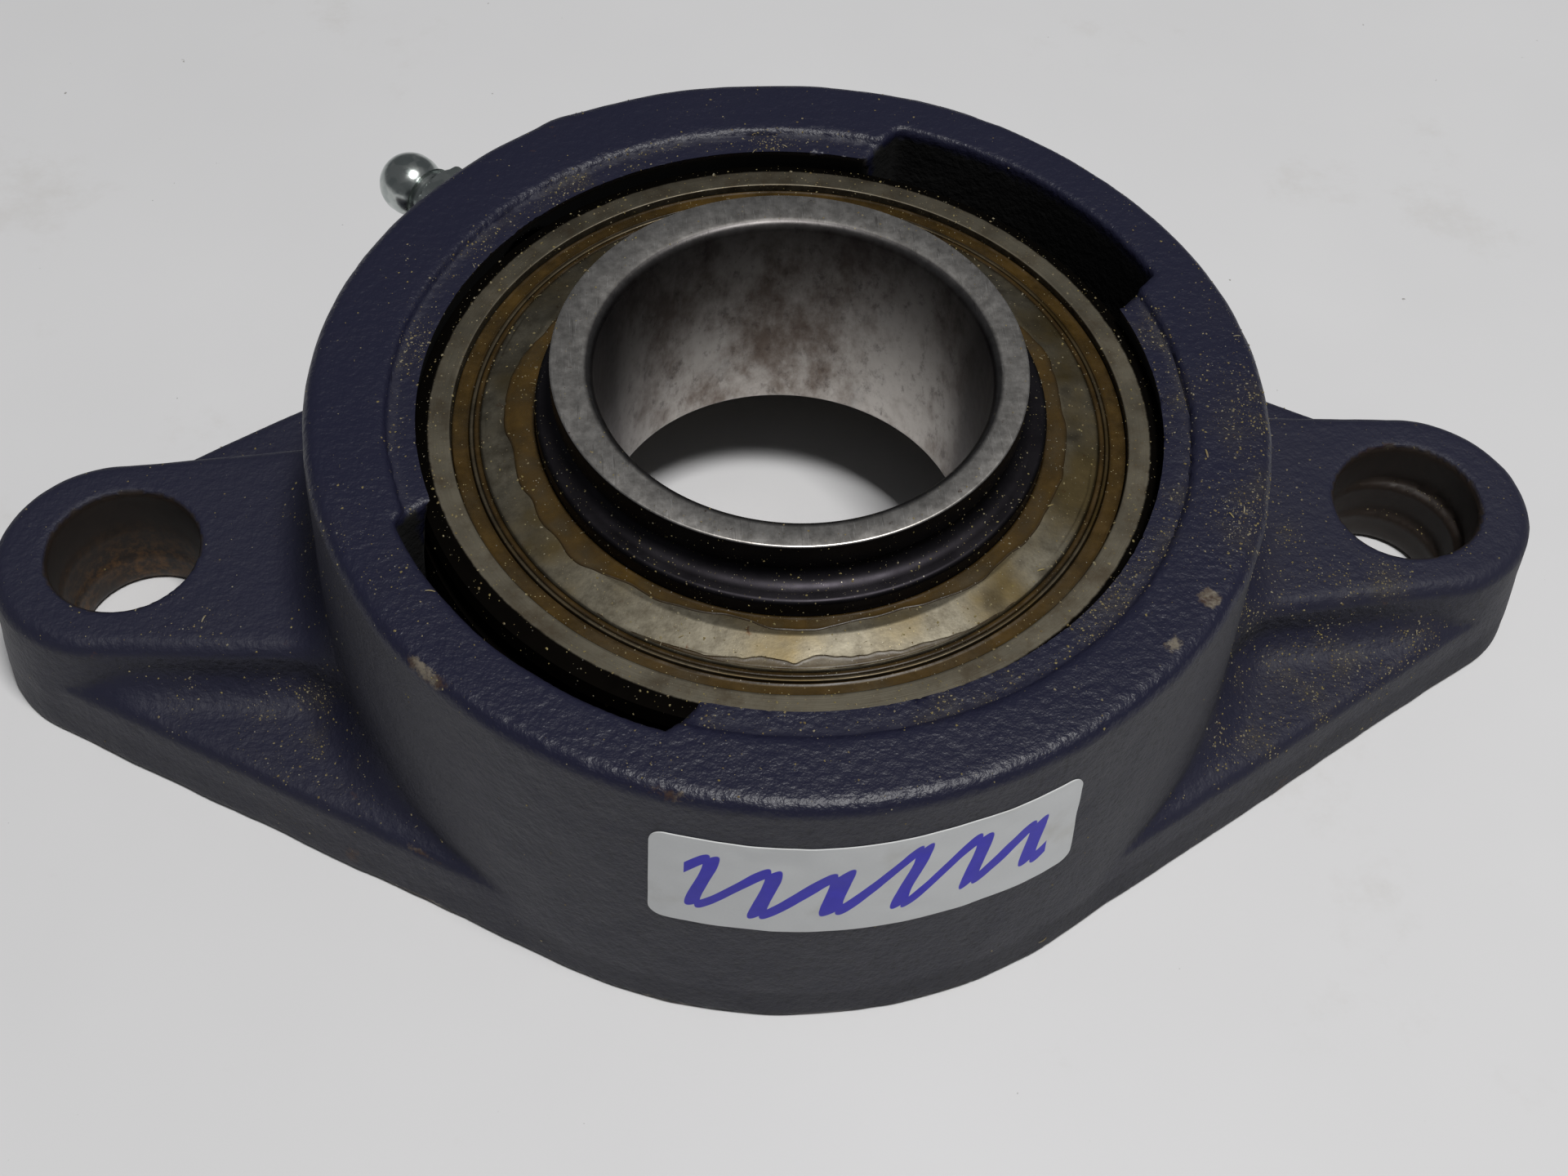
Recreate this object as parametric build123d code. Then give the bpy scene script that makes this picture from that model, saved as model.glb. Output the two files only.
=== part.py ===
from build123d import *
from math import asin, cos, radians, sin, sqrt
import os

# Two-bolt flange mount bearing: a cast housing that holds a self-aligning ball bearing insert.
#
# Frame: the origin is the centre of the mounting face, on the shaft's axis. +X runs along the line of
# the two bolt holes and +Z leaves the mounting face along the shaft. All sizes are in millimetres.
# Axial places inside the insert are measured from its centre plane, and the insert is the same on both
# sides of that plane, except for the inner ring, whose cam end stands out at the front.

# ---------------------------------------------------------------- ball bearing insert
bore_radius = 18.26           # 1 7/16 in shaft
ball_diameter = 11.112        # 7/16 in
ball_count = 9
inner_wall = 2.92             # inner ring, bore to raceway bottom
outer_wall = 3.688            # outer ring, raceway bottom to its spherical outside
land_height = 2.6             # beside either raceway, above its bottom
outer_corner = 1.1
bore_corner = 0.9
back_reach = 1.0              # inner ring's plain end, past the outer ring's face
shoulder_reach = 2.2          # top of the inner ring's land, past the outer ring's face
cam_reach = 6.9               # face of the cam, past the outer ring's face
cam_height = 2.8
cam_wall = 3.64               # cam's radius over the bore's
cam_offset = 0.59             # how far the cam's axis is from the bore's
cam_angle = 121.0             # degrees from +X, the cam's high side
neck_depth = 0.9              # undercut behind the cam, under the cam's radius
neck_flare = 1.7              # hollow from the undercut out to the land

# ---------------------------------------------------------------- seals
mouth_wall = 2.23             # outer ring at its mouth, less its corner
seal_depth = 1.6              # shoulder that the seal shell rests on, below the outer ring's face
shell_thickness = 0.4
shell_groove_depth = 0.5      # how far the shell's flange is let in past the mouth
shell_lip_gap = 1.7           # open channel round the shell's turned-up lip
shell_lip_height = 1.05
seal_thickness = 0.4
seal_lip_height = 0.9
seal_lip_width = 0.9
seal_gap = 0.394              # between the cage and the seal
flinger_thickness = 0.5
flinger_gap = 0.55            # between the flinger's rim and the shell's lip
flinger_flat = 2.0            # width of its flat top
flinger_reach = 0.3           # flat top, past the outer ring's face
flinger_slope = 0.75          # how much lower its rim is
flinger_sleeve = 1.1

# ---------------------------------------------------------------- ball cage
cage_thickness = 0.5
cage_half_width = 1.95        # either side of the balls' pitch circle
rivet_radius = 0.7
rivet_head_radius = 1.2
rivet_head_height = 0.4

# ---------------------------------------------------------------- housing casting
insert_height = 22.1          # the insert's centre plane above the mounting face
rim_above_centre = 11.1       # top of the rim above the insert's centre plane
bolt_spacing = 130.2          # hole centre to hole centre, 5 1/8 in
bolt_hole_radius = 7.15       # 9/16 in hole for a 1/2 in bolt
ear_radius = 14.2             # round ends of the flange, at the mounting face
ear_height = 14.0             # top of the bolt pads above the mounting face
flange_height = 8.1           # top edge of the rhombic flange beside the pads
flange_draft = 12.5           # degrees, casting draft of the flange and the pads
hub_wall = 10.7               # round body, outside the insert, at the mounting face
hub_draft = 2.4               # how much narrower the round body is at its rim
rim_round = 1.5               # rounded outer edge of the rim
rim_step_width = 2.7          # flat ledge between the seat's mouth and the rim's step
rim_step_depth = 0.7
step_corner = 0.4             # bevel along the step's top edge
back_recess_width = 2.8       # step from the seat's lower mouth out to the cored recess
back_recess_draft = 1.2
hub_fillet = 1.0              # hollow between the flange and the round body
pad_round = 1.2               # rounded top edge of the bolt pads
slot_width = 32.0             # the two loading slots that the insert goes in by
slot_depth = 3.1              # slot's outer wall, outside the insert
slot_angle = 45.0             # degrees from +X
slot_below_centre = 2.0       # a slot's floor below the insert's centre plane

# ---------------------------------------------------------------- grease nipple
nipple_angle = 135.0          # degrees from +X
nipple_below_seal = 1.5       # its axis below the seal shell's shoulder
spot_face_depth = 0.43        # cut into the wall, at the nipple's axis
spot_face_radius = 5.0
thread_radius = 3.1           # 1/4 in thread
thread_length = 7.0
thread_chamfer = 0.4
hex_across_flats = 7.94       # 5/16 in spanner
hex_height = 3.2
hex_chamfer = 0.5
neck_radius = 2.35
neck_root = 0.6               # how far the neck flares out on the hexagon
head_radius = 3.25
head_centre = 7.6             # middle of the head, from the spot face
head_length = 4.2
head_band = 0.8               # the head's widest stretch, along its axis
tip_radius = 1.8
grease_way_radius = 1.2
mouth_radius = 0.7
mouth_length = 0.9
check_ball_radius = 1.0
spring_wire_radius = 0.12
spring_turns = 6
spring_length = 3.6
lube_groove_width = 2.2
lube_groove_depth = 0.7
lube_hole_radius = 0.6

# ---------------------------------------------------------------- paper label
label_length = 38.1           # along the wall, 1 1/2 in
label_width = 12.7            # 1/2 in
label_thickness = 0.12
label_angle = -85.5           # degrees from +X, the label's middle
label_height = 21.5           # the label's middle above the mounting face
label_corner = 1.4

# ---------------------------------------------------------------- clearances between pieces
seat_clearance = 0.02         # insert in the housing's spherical seat
race_clearance = 0.01         # each ball in each raceway
race_conformity = 1.03        # a raceway's groove radius over the ball's radius
lip_clearance = 0.03          # seal lip on the inner ring's land
snap_clearance = 0.05         # seal shell in its groove, on each side
pocket_clearance = 0.05       # ball in its cage pocket
rivet_clearance = 0.02
thread_clearance = 0.05
check_clearance = 0.01
spring_clearance = 0.05
label_gap = 0.01              # film of glue
cut_over = 2.0                # how far a cutting tool runs past what it cuts

# ---------------------------------------------------------------- worked out, from the bore outwards
ball_radius = ball_diameter / 2
inner_race_radius = bore_radius + inner_wall
pitch_radius = inner_race_radius + race_clearance + ball_radius
outer_race_radius = pitch_radius + ball_radius + race_clearance
insert_radius = outer_race_radius + outer_wall
groove_radius = ball_radius * race_conformity
inner_land_radius = inner_race_radius + land_height
outer_land_radius = outer_race_radius - land_height
seal_seat = ball_radius + pocket_clearance + cage_thickness + seal_gap + seal_thickness
face = seal_seat + seal_depth
face_radius = sqrt(insert_radius**2 - face**2) - outer_corner
seal_bore_radius = face_radius - mouth_wall
shell_groove_radius = seal_bore_radius + shell_groove_depth
shell_lip_radius = seal_bore_radius - shell_lip_gap
flinger_radius = shell_lip_radius - shell_thickness - flinger_gap
flinger_flat_radius = inner_land_radius + flinger_flat
flinger_top = face + flinger_reach
cam_radius = bore_radius + cam_wall
cam_neck_radius = cam_radius - neck_depth
cam_end = face + cam_reach
shoulder_end = face + shoulder_reach
back_end = face + back_reach

# Heights from here on are above the mounting face, and radii are from the shaft's axis.
hub_height = insert_height + rim_above_centre
hub_radius = insert_radius + hub_wall
rim_radius = hub_radius - hub_draft
wall_top = hub_height - rim_round
seat_radius = insert_radius + seat_clearance
ledge_height = hub_height - rim_step_depth
seat_half_width = ledge_height - insert_height
seat_mouth_radius = sqrt(seat_radius**2 - seat_half_width**2)
rim_step_radius = seat_mouth_radius + rim_step_width
recess_top_radius = seat_mouth_radius + back_recess_width
slot_reach = insert_radius + slot_depth
nipple_above_centre = seal_seat - nipple_below_seal
nipple_height = insert_height + nipple_above_centre
middle = Location((0, 0, insert_height))


def wall_radius(height):
    """The drafted wall of the round body at a height above the mounting face."""
    return hub_radius - hub_draft * height / wall_top


nipple_seat = wall_radius(nipple_height) - spot_face_depth


def ring(points):
    """A solid of revolution about Z from its half section, given as (radius, height) corners."""
    return revolve(Plane.XZ * make_face(Polyline(*points, close=True)), Axis.Z)


def tube(outer, inner, low, high):
    """A plain ring between two heights."""
    return ring([(inner, low), (outer, low), (outer, high), (inner, high)])


def both_ways(solid):
    """The solid and its mirror image behind the insert's centre plane."""
    return solid, mirror(solid, Plane.XY)


# ---------------------------------------------------------------- housing
def flange_outline():
    """The rhombic outline at the mounting face: the hub's circle and the two ears, with tangents."""
    ear_x = bolt_spacing / 2
    lean = asin((hub_radius - ear_radius) / ear_x)
    across, up = sin(lean), cos(lean)
    hub_point = (hub_radius * across, hub_radius * up)
    ear_point = (ear_x + ear_radius * across, ear_radius * up)

    def at(point, sx, sy):
        return (sx * point[0], sy * point[1])

    edges = []
    for side in (1, -1):
        edges.append(Line(at(hub_point, side, -side), at(ear_point, side, -side)))
        ear_end = (side * (ear_x + ear_radius), 0)
        edges.append(ThreePointArc(at(ear_point, side, -side), ear_end, at(ear_point, side, side)))
        edges.append(Line(at(ear_point, side, side), at(hub_point, side, side)))
        hub_side = (0, side * hub_radius)
        edges.append(ThreePointArc(at(hub_point, side, side), hub_side, at(hub_point, -side, side)))
    return make_face(edges)


def hub_body():
    """The round body with its draft and rounded rim, as one solid of revolution."""
    turn = sqrt(0.5) * rim_round
    wall = Polyline((0, hub_height), (0, 0), (hub_radius, 0), (rim_radius, wall_top))
    edge_centre = (rim_radius - rim_round, wall_top)
    edge = ThreePointArc(
        (rim_radius, wall_top),
        (edge_centre[0] + turn, edge_centre[1] + turn),
        (edge_centre[0], hub_height),
    )
    top = Line((edge_centre[0], hub_height), (0, hub_height))
    return revolve(Plane.XZ * make_face(wall.edges() + [edge, top]), Axis.Z)


def seat_cavity():
    """What is bored and cored out of the hub: the step, the spherical seat and the back recess."""
    seat_low = insert_height - seat_half_width
    top = hub_height + cut_over
    corner = step_corner
    upper = Polyline(
        (0, top),
        (rim_step_radius + corner + cut_over, top),
        (rim_step_radius + corner, hub_height),
        (rim_step_radius, hub_height - corner),
        (rim_step_radius, ledge_height),
        (seat_mouth_radius, ledge_height),
    )
    seat = ThreePointArc(
        (seat_mouth_radius, ledge_height),
        (seat_radius, insert_height),
        (seat_mouth_radius, seat_low),
    )
    lower = Polyline(
        (seat_mouth_radius, seat_low),
        (recess_top_radius, seat_low),
        (recess_top_radius + back_recess_draft, 0),
        (recess_top_radius + back_recess_draft, -cut_over),
        (0, -cut_over),
        (0, top),
    )
    section = make_face(upper.edges() + [seat] + lower.edges())
    return revolve(Plane.XZ * section, Axis.Z)


def loading_slots():
    """The pair of notches in the rim that let the insert in edge-on, before it is turned flat."""
    floor = insert_height - slot_below_centre
    height = hub_height + cut_over - floor
    bar = Box(2 * hub_radius, slot_width, height, align=(Align.CENTER, Align.CENTER, Align.MIN))
    drum = Cylinder(slot_reach, height, align=(Align.CENTER, Align.CENTER, Align.MIN))
    slots = (Rot(0, 0, slot_angle) * bar) & drum
    return Pos(0, 0, floor) * slots


def nipple_place(distance):
    """A frame whose Z runs out along the grease nipple, at a distance from the shaft's axis."""
    out = radians(nipple_angle)
    direction = (cos(out), sin(out), 0)
    origin = (distance * direction[0], distance * direction[1], nipple_height)
    return Plane(origin=origin, x_dir=(0, 0, 1), z_dir=direction)


def peg(radius, length):
    """A cylinder that stands on its frame's origin."""
    return Cylinder(radius, length, align=(Align.CENTER, Align.CENTER, Align.MIN))


def near_height(edge, height, slack=0.05):
    return abs(edge.center().Z - height) < slack


def on_hub_wall(edge, slack=0.05):
    """Whether an edge lies where the flange meets the round body."""
    point = edge @ 0.5
    inside = flange_height - slack < point.Z < wall_top
    return inside and abs(sqrt(point.X**2 + point.Y**2) - wall_radius(point.Z)) < slack


def make_housing():
    """The iron casting, with every hole that is cored or machined in it."""
    flange = extrude(flange_outline(), flange_height, taper=flange_draft)
    ears = SlotCenterToCenter(bolt_spacing, 2 * ear_radius)
    pads = extrude(ears, ear_height, taper=flange_draft)
    pads = fillet([e for e in pads.edges() if near_height(e, ear_height)], pad_round)
    body = flange + pads + hub_body()
    body = fillet([e for e in body.edges() if on_hub_wall(e)], hub_fillet)
    body -= seat_cavity()
    body -= loading_slots()
    for side in (-1, 1):
        body -= Pos(side * bolt_spacing / 2, 0, -cut_over) * peg(bolt_hole_radius, hub_height)
    body -= nipple_place(nipple_seat) * peg(spot_face_radius, hub_radius)
    body -= nipple_place(insert_radius / 2) * peg(thread_radius + thread_clearance, hub_radius)
    return body


def make_label():
    """A thin sheet wrapped round the front wall, with rounded corners."""
    low, high = label_height - label_width / 2, label_height + label_width / 2
    inside_low, inside_high = wall_radius(low) + label_gap, wall_radius(high) + label_gap
    sheet = ring([
        (inside_low, low),
        (inside_low + label_thickness, low),
        (inside_high + label_thickness, high),
        (inside_high, high),
    ])
    cutter = Plane(
        origin=(0, 0, label_height),
        x_dir=(-sin(radians(label_angle)), cos(radians(label_angle)), 0),
        z_dir=(cos(radians(label_angle)), sin(radians(label_angle)), 0),
    )
    chord = 2 * hub_radius * sin(label_length / (2 * hub_radius))
    outline = RectangleRounded(chord, label_width, label_corner)
    return sheet & extrude(cutter * outline, 2 * hub_radius)


# ---------------------------------------------------------------- outer ring
def race(centre_radius):
    """The round groove that the balls run in, as a tool to cut either ring with."""
    return Torus(centre_radius, groove_radius)


def make_outer_ring():
    """Spherical outside, deep groove inside, seal seats at both ends and the lubrication groove."""
    cut_corner = (face_radius, face)
    sphere_end_height = face - outer_corner / 2
    sphere_end = sqrt(insert_radius**2 - sphere_end_height**2)
    outside = ThreePointArc(
        (sphere_end, -sphere_end_height),
        (insert_radius, 0),
        (sphere_end, sphere_end_height),
    )
    rest = Polyline(
        (sphere_end, sphere_end_height),
        cut_corner,
        (outer_land_radius, face),
        (outer_land_radius, -face),
        (face_radius, -face),
        (sphere_end, -sphere_end_height),
    )
    body = revolve(Plane.XZ * make_face([outside] + rest.edges()), Axis.Z)
    for mouth in both_ways(tube(seal_bore_radius, pitch_radius, seal_seat, face + cut_over)):
        body -= mouth
    groove_top = seal_seat + shell_thickness + snap_clearance
    for groove in both_ways(tube(shell_groove_radius + snap_clearance, pitch_radius, seal_seat, groove_top)):
        body -= groove
    body -= race(outer_race_radius - groove_radius)
    groove_low = nipple_above_centre - lube_groove_width / 2
    groove_floor = sqrt(insert_radius**2 - nipple_above_centre**2) - lube_groove_depth
    body -= tube(insert_radius + cut_over, groove_floor, groove_low, groove_low + lube_groove_width)
    out = radians(nipple_angle)
    way_in = Plane(origin=(0, 0, nipple_above_centre), z_dir=(cos(out), sin(out), 0))
    return body - way_in * peg(lube_hole_radius, insert_radius)


# ---------------------------------------------------------------- inner ring
def make_inner_ring():
    """Deep groove, wide land, and at the front the undercut and the eccentric cam."""
    neck_top = cam_end - cam_height
    land = inner_land_radius
    flare_start = shoulder_end + neck_flare
    hollow = neck_flare * (1 - sqrt(0.5))
    profile = [
        *Polyline(
            (cam_neck_radius, flare_start),
            (cam_neck_radius, cam_end),
            (bore_radius + bore_corner, cam_end),
            (bore_radius, cam_end - bore_corner),
            (bore_radius, -back_end + bore_corner),
            (bore_radius + bore_corner, -back_end),
            (land - bore_corner, -back_end),
            (land, -back_end + bore_corner),
            (land, shoulder_end - neck_flare / 4),
            (land - neck_flare / 4, shoulder_end),
            (cam_neck_radius + neck_flare, shoulder_end),
        ).edges(),
        ThreePointArc(
            (cam_neck_radius + neck_flare, shoulder_end),
            (
                cam_neck_radius + hollow,
                shoulder_end + hollow,
            ),
            (cam_neck_radius, flare_start),
        ),
    ]
    body = revolve(Plane.XZ * make_face(profile), Axis.Z)
    body -= race(inner_race_radius + groove_radius)
    high = radians(cam_angle)
    cam_middle = (cam_offset * cos(high), cam_offset * sin(high), neck_top)
    cam = Pos(*cam_middle) * peg(cam_radius, cam_height)
    cam -= Pos(0, 0, neck_top - cut_over) * peg((cam_neck_radius + bore_radius + bore_corner) / 2, cam_end)
    return body + cam


# ---------------------------------------------------------------- seals, one set at each end
def make_seal_shell():
    """Steel ring let into the outer ring, with a lip turned up round the flinger."""
    return ring([
        (shell_lip_radius - shell_thickness, seal_seat),
        (shell_groove_radius, seal_seat),
        (shell_groove_radius, seal_seat + shell_thickness),
        (shell_lip_radius, seal_seat + shell_thickness),
        (shell_lip_radius, seal_seat + shell_lip_height),
        (shell_lip_radius - shell_thickness, seal_seat + shell_lip_height),
    ])


def make_seal_lip():
    """Rubber disc bonded under the steel shell, with a thick lip round the inner ring."""
    inner = inner_land_radius + lip_clearance
    return ring([
        (inner, seal_seat - seal_thickness),
        (outer_land_radius - snap_clearance, seal_seat - seal_thickness),
        (outer_land_radius - snap_clearance, seal_seat),
        (inner + seal_lip_width, seal_seat),
        (inner + seal_lip_width / 2, seal_seat + seal_lip_height - seal_thickness),
        (inner, seal_seat + seal_lip_height - seal_thickness),
    ])


def make_flinger():
    """Pressed steel washer that turns with the inner ring: sleeve, flat, bend and sloping skirt."""
    inner, thick = inner_land_radius, flinger_thickness
    low = flinger_top - flinger_slope
    return ring([
        (inner, flinger_top - flinger_sleeve),
        (inner + thick, flinger_top - flinger_sleeve),
        (inner + thick, flinger_top - thick),
        (flinger_flat_radius, flinger_top - thick),
        (flinger_radius, low - thick),
        (flinger_radius, low),
        (flinger_flat_radius, flinger_top),
        (inner, flinger_top),
    ])


# ---------------------------------------------------------------- balls and cage
def ball_place(index):
    """Where a ball sits in the insert, and the direction out through it."""
    turn = Rot(0, 0, 360 / ball_count * index)
    return turn * Pos(pitch_radius, 0, 0)


def rivet_place(index):
    """Halfway between two balls."""
    turn = Rot(0, 0, 360 / ball_count * (index + 0.5))
    return turn * Pos(pitch_radius, 0, 0)


def make_cage_half():
    """The front half of the pressed ribbon cage: flats between domed pockets, one for each ball."""
    hollow = ball_radius + pocket_clearance
    reach = hollow + cage_thickness
    flats = tube(pitch_radius + cage_half_width, pitch_radius - cage_half_width, 0, cage_thickness)
    band = tube(pitch_radius + cage_half_width, pitch_radius - cage_half_width, 0, reach)
    half = flats
    for index in range(ball_count):
        half += band & (ball_place(index) * Sphere(reach))
    for index in range(ball_count):
        half -= ball_place(index) * Sphere(hollow)
        half -= rivet_place(index) * Cylinder(rivet_radius + rivet_clearance, 4 * cage_thickness)
    return half


def make_rivets():
    """All the cage's rivets, each a shank with two flat heads."""
    rivets = []
    shank = Cylinder(rivet_radius, 2 * cage_thickness)
    head = Pos(0, 0, cage_thickness) * peg(rivet_head_radius, rivet_head_height)
    rivet = shank + head + mirror(head, Plane.XY)
    for index in range(ball_count):
        rivets.append(rivet_place(index) * rivet)
    return Compound(children=rivets)


# ---------------------------------------------------------------- grease nipple
def make_nipple_body():
    """Threaded shank, hexagon, neck and round head, bored through for grease."""
    mouth = head_centre + head_length / 2
    turned = ring([
        (0, -thread_length),
        (thread_radius - thread_chamfer, -thread_length),
        (thread_radius, -thread_length + thread_chamfer),
        (thread_radius, hex_height),
        (neck_radius + neck_root, hex_height),
        (neck_radius, hex_height + 1.5 * neck_root),
        (neck_radius, head_centre - head_length / 2),
        (head_radius, head_centre - head_band / 2),
        (head_radius, head_centre + head_band / 2),
        (tip_radius, mouth),
        (0, mouth),
    ])
    flats = extrude(RegularPolygon(hex_across_flats / 2, 6, major_radius=False), hex_height)
    crown_radius = hex_across_flats / sqrt(3) - hex_chamfer
    crown = ring([
        (0, 0),
        (crown_radius + 2 * hex_chamfer, 0),
        (crown_radius + 2 * hex_chamfer, hex_height - 2 * hex_chamfer),
        (crown_radius - hex_chamfer, hex_height),
        (0, hex_height),
    ])
    body = turned + (flats & crown)
    chamber_low = ball_rest() - check_ball_radius - spring_length - 2 * spring_clearance
    chamber = Pos(0, 0, chamber_low) * peg(grease_way_radius, mouth - mouth_length - chamber_low)
    whole_length = thread_length + mouth + 2 * cut_over
    grease_way = Pos(0, 0, -thread_length - cut_over) * peg(mouth_radius, whole_length)
    return body - chamber - grease_way


def ball_rest():
    """The check ball's centre out from the spot face, when it closes the nipple's mouth."""
    mouth = head_centre + head_length / 2 - mouth_length
    return mouth - sqrt(check_ball_radius**2 - mouth_radius**2) - check_clearance


def make_spring():
    """Coil spring that holds the check ball shut."""
    coil = grease_way_radius - spring_wire_radius - 2 * spring_clearance
    pitch = spring_length / spring_turns
    path = Helix(pitch, spring_length - 2 * spring_wire_radius, coil)
    start = Plane(origin=path @ 0, z_dir=path % 0)
    wire = sweep(start * Circle(spring_wire_radius), path=path, is_frenet=True)
    low = ball_rest() - check_ball_radius - spring_length + spring_wire_radius
    return Pos(0, 0, low - spring_clearance) * wire


# ---------------------------------------------------------------- assembly
def make_parts():
    parts = {"housing": make_housing(), "paper_label": make_label()}
    at_nipple = nipple_place(nipple_seat)
    parts["nipple_body"] = at_nipple * make_nipple_body()
    parts["nipple_check_ball"] = at_nipple * Pos(0, 0, ball_rest()) * Sphere(check_ball_radius)
    parts["nipple_spring"] = at_nipple * make_spring()
    parts["outer_ring"] = middle * make_outer_ring()
    parts["inner_ring"] = middle * make_inner_ring()
    for name, piece in (
        ("seal_shell", make_seal_shell()),
        ("seal_lip", make_seal_lip()),
        ("flinger", make_flinger()),
    ):
        front, rear = both_ways(piece)
        parts[name + "_front"] = middle * front
        parts[name + "_rear"] = middle * rear
    cage_front, cage_rear = both_ways(make_cage_half())
    parts["cage_front"] = middle * cage_front
    parts["cage_rear"] = middle * cage_rear
    parts["cage_rivets"] = middle * make_rivets()
    for index in range(ball_count):
        parts[f"ball_{index + 1}"] = middle * ball_place(index) * Sphere(ball_radius)
    return parts


os.makedirs("parts", exist_ok=True)
for name, solid in make_parts().items():
    export_step(solid, f"parts/{name}.step")
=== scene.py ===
# %% [markdown]
# # A two-bolt flange mount bearing
#
# The object is a cast iron housing, painted dark navy, that holds a ball bearing insert: two ground
# steel rings with balls between them, closed by pressed steel seals. It has been on a shelf in a workshop,
# so there is old grease on the seal, sawdust in every hollow and wear along the cast edges.
#
# The exact shapes come from the CAD model, which is loaded as a fixed frame. Each piece here is made
# again with the fine shape and the finish that the CAD model has no room for, in the same place.

import math

import bpy
import numpy as np
from mathutils import Matrix, Vector


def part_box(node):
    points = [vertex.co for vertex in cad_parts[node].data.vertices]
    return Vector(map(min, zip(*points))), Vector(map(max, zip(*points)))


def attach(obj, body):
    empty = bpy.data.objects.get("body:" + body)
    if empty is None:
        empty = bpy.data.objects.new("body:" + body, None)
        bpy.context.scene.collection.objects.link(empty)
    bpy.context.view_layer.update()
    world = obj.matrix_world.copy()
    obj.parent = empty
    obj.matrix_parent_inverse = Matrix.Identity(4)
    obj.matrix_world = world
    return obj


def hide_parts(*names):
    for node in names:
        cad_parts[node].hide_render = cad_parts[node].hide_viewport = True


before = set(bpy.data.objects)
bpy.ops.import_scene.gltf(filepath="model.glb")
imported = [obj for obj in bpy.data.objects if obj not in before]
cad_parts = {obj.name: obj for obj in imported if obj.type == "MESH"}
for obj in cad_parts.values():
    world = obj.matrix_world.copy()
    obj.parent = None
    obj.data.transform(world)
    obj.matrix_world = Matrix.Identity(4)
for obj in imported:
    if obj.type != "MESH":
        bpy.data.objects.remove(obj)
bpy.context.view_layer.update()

# %% [markdown]
# ## Sizes
#
# Blender works in metres and a machinist in millimetres, so shapes are worked out in millimetres and
# turned into metres once, when a mesh is made. The main sizes are measured on the frame, and the
# smaller ones, such as a rounded edge, are named here.

# %% Sizes measured on the frame
MM = 0.001


def corners(node):
    """Lowest and highest corner of a CAD node, in millimetres."""
    low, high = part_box(node)
    return np.array(low) / MM, np.array(high) / MM


housing_low, housing_high = corners("housing")
ring_low, ring_high = corners("outer_ring")
inner_low, inner_high = corners("inner_ring")
_, flinger_high = corners("flinger_front")

rim_top = housing_high[2]
hub_foot_radius = housing_high[1]
insert_radius = ring_high[0]
insert_centre = (ring_low[2] + ring_high[2]) / 2
face = ring_high[2] - insert_centre  # outer ring's face, from the insert's centre plane
cam_end = inner_high[2] - insert_centre
back_end = inner_low[2] - insert_centre
land_radius = inner_high[0]
flinger_radius = flinger_high[0]
flinger_top = flinger_high[2] - insert_centre
print(f"insert radius {insert_radius:.2f}, its centre {insert_centre:.2f} above the mounting face")

# %% Sizes of the casting, in millimetres
hub_draft = 2.4
rim_round = 1.3
wall_top = rim_top - rim_round
ear_radius = 13.3
ear_x = housing_high[0] - ear_radius
ear_height = 14.0
pad_widening = 0.075
core_shift = 0.66  # the upper half of the mould lay this much towards the back
flange_height = 8.1
casting_draft = math.radians(7.0)
bolt_x = 65.1
bolt_hole_radius = 7.15
seat_radius = insert_radius + 0.15
seat_half_width = rim_top - 0.7 - insert_centre
ledge_radius = 37.2
recess_radius = 37.3
slot_half_width = 16.0
slot_wall_radius = insert_radius + 3.0
slot_core_shift = 0.55  # the slots' core lay this much off, both to the right and to the back
slot_floor = insert_centre - 2.0
slot_angle = math.radians(45.0)
nipple_angle = math.radians(135.0)
nipple_seat = 44.19
nipple_height = insert_centre + 5.4
spot_face_radius = 5.0
thread_radius = 3.15
upper_ledge = 8.4  # heights of the two cast ledges in a bolt hole
lower_ledge = 4.2


def wall_radius(height):
    """The drafted wall of the round body at a height above the mounting face."""
    return hub_foot_radius - hub_draft * height / wall_top


# %% [markdown]
# ## The casting as a field of distances
#
# Sand castings have no sharp inside corners: wherever two walls meet, the pattern maker adds a hollow.
# Filleting such corners edge by edge is fragile. Here the casting is a function that tells, for any
# point, how far it is from the surface, with negative values inside the iron. Joining two shapes is then
# a minimum, cutting one with another is a maximum, and a rounded or hollow corner is a small change to
# either. The surface is wherever the function is zero.

# %% Joining and cutting fields
def rounded_meet(a, b, radius):
    """Where both fields are inside, with the outside edge between them rounded."""
    over = np.hypot(np.maximum(a + radius, 0), np.maximum(b + radius, 0))
    return np.minimum(np.maximum(a, b), -radius) + over


def hollow_join(a, b, radius):
    """Where either field is inside, with a hollow in the corner between them."""
    under = np.hypot(np.maximum(radius - a, 0), np.maximum(radius - b, 0))
    return np.maximum(np.minimum(a, b), radius) - under


def tapered_capsule(x, y, radius, end_x, end_radius):
    """Flat distance to two equal ears and a middle circle, joined by straight tangents."""
    lean = (radius - end_radius) / end_x
    rise = math.sqrt(1 - lean * lean)
    along, across = np.abs(x), np.abs(y)
    reach = along * rise - across * lean
    near_middle = np.hypot(along, across) - radius
    near_end = np.hypot(along - end_x, across) - end_radius
    beside = across * rise + along * lean - radius
    return np.where(reach < 0, near_middle, np.where(reach > rise * end_x, near_end, beside))


def fade_in(apart, reach):
    """0 where two surfaces run together, rising to 1 where they are reach apart."""
    share = np.clip(apart / reach, 0, 1)
    return share * share * (3 - 2 * share)


def bump_at(angle, centre, half_width):
    """1 at an angle round the shaft, falling smoothly to 0 at half_width away, in degrees."""
    away = (angle - centre + 180.0) % 360.0 - 180.0
    return np.exp(-((away / half_width) ** 2) * 2.0)


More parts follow.
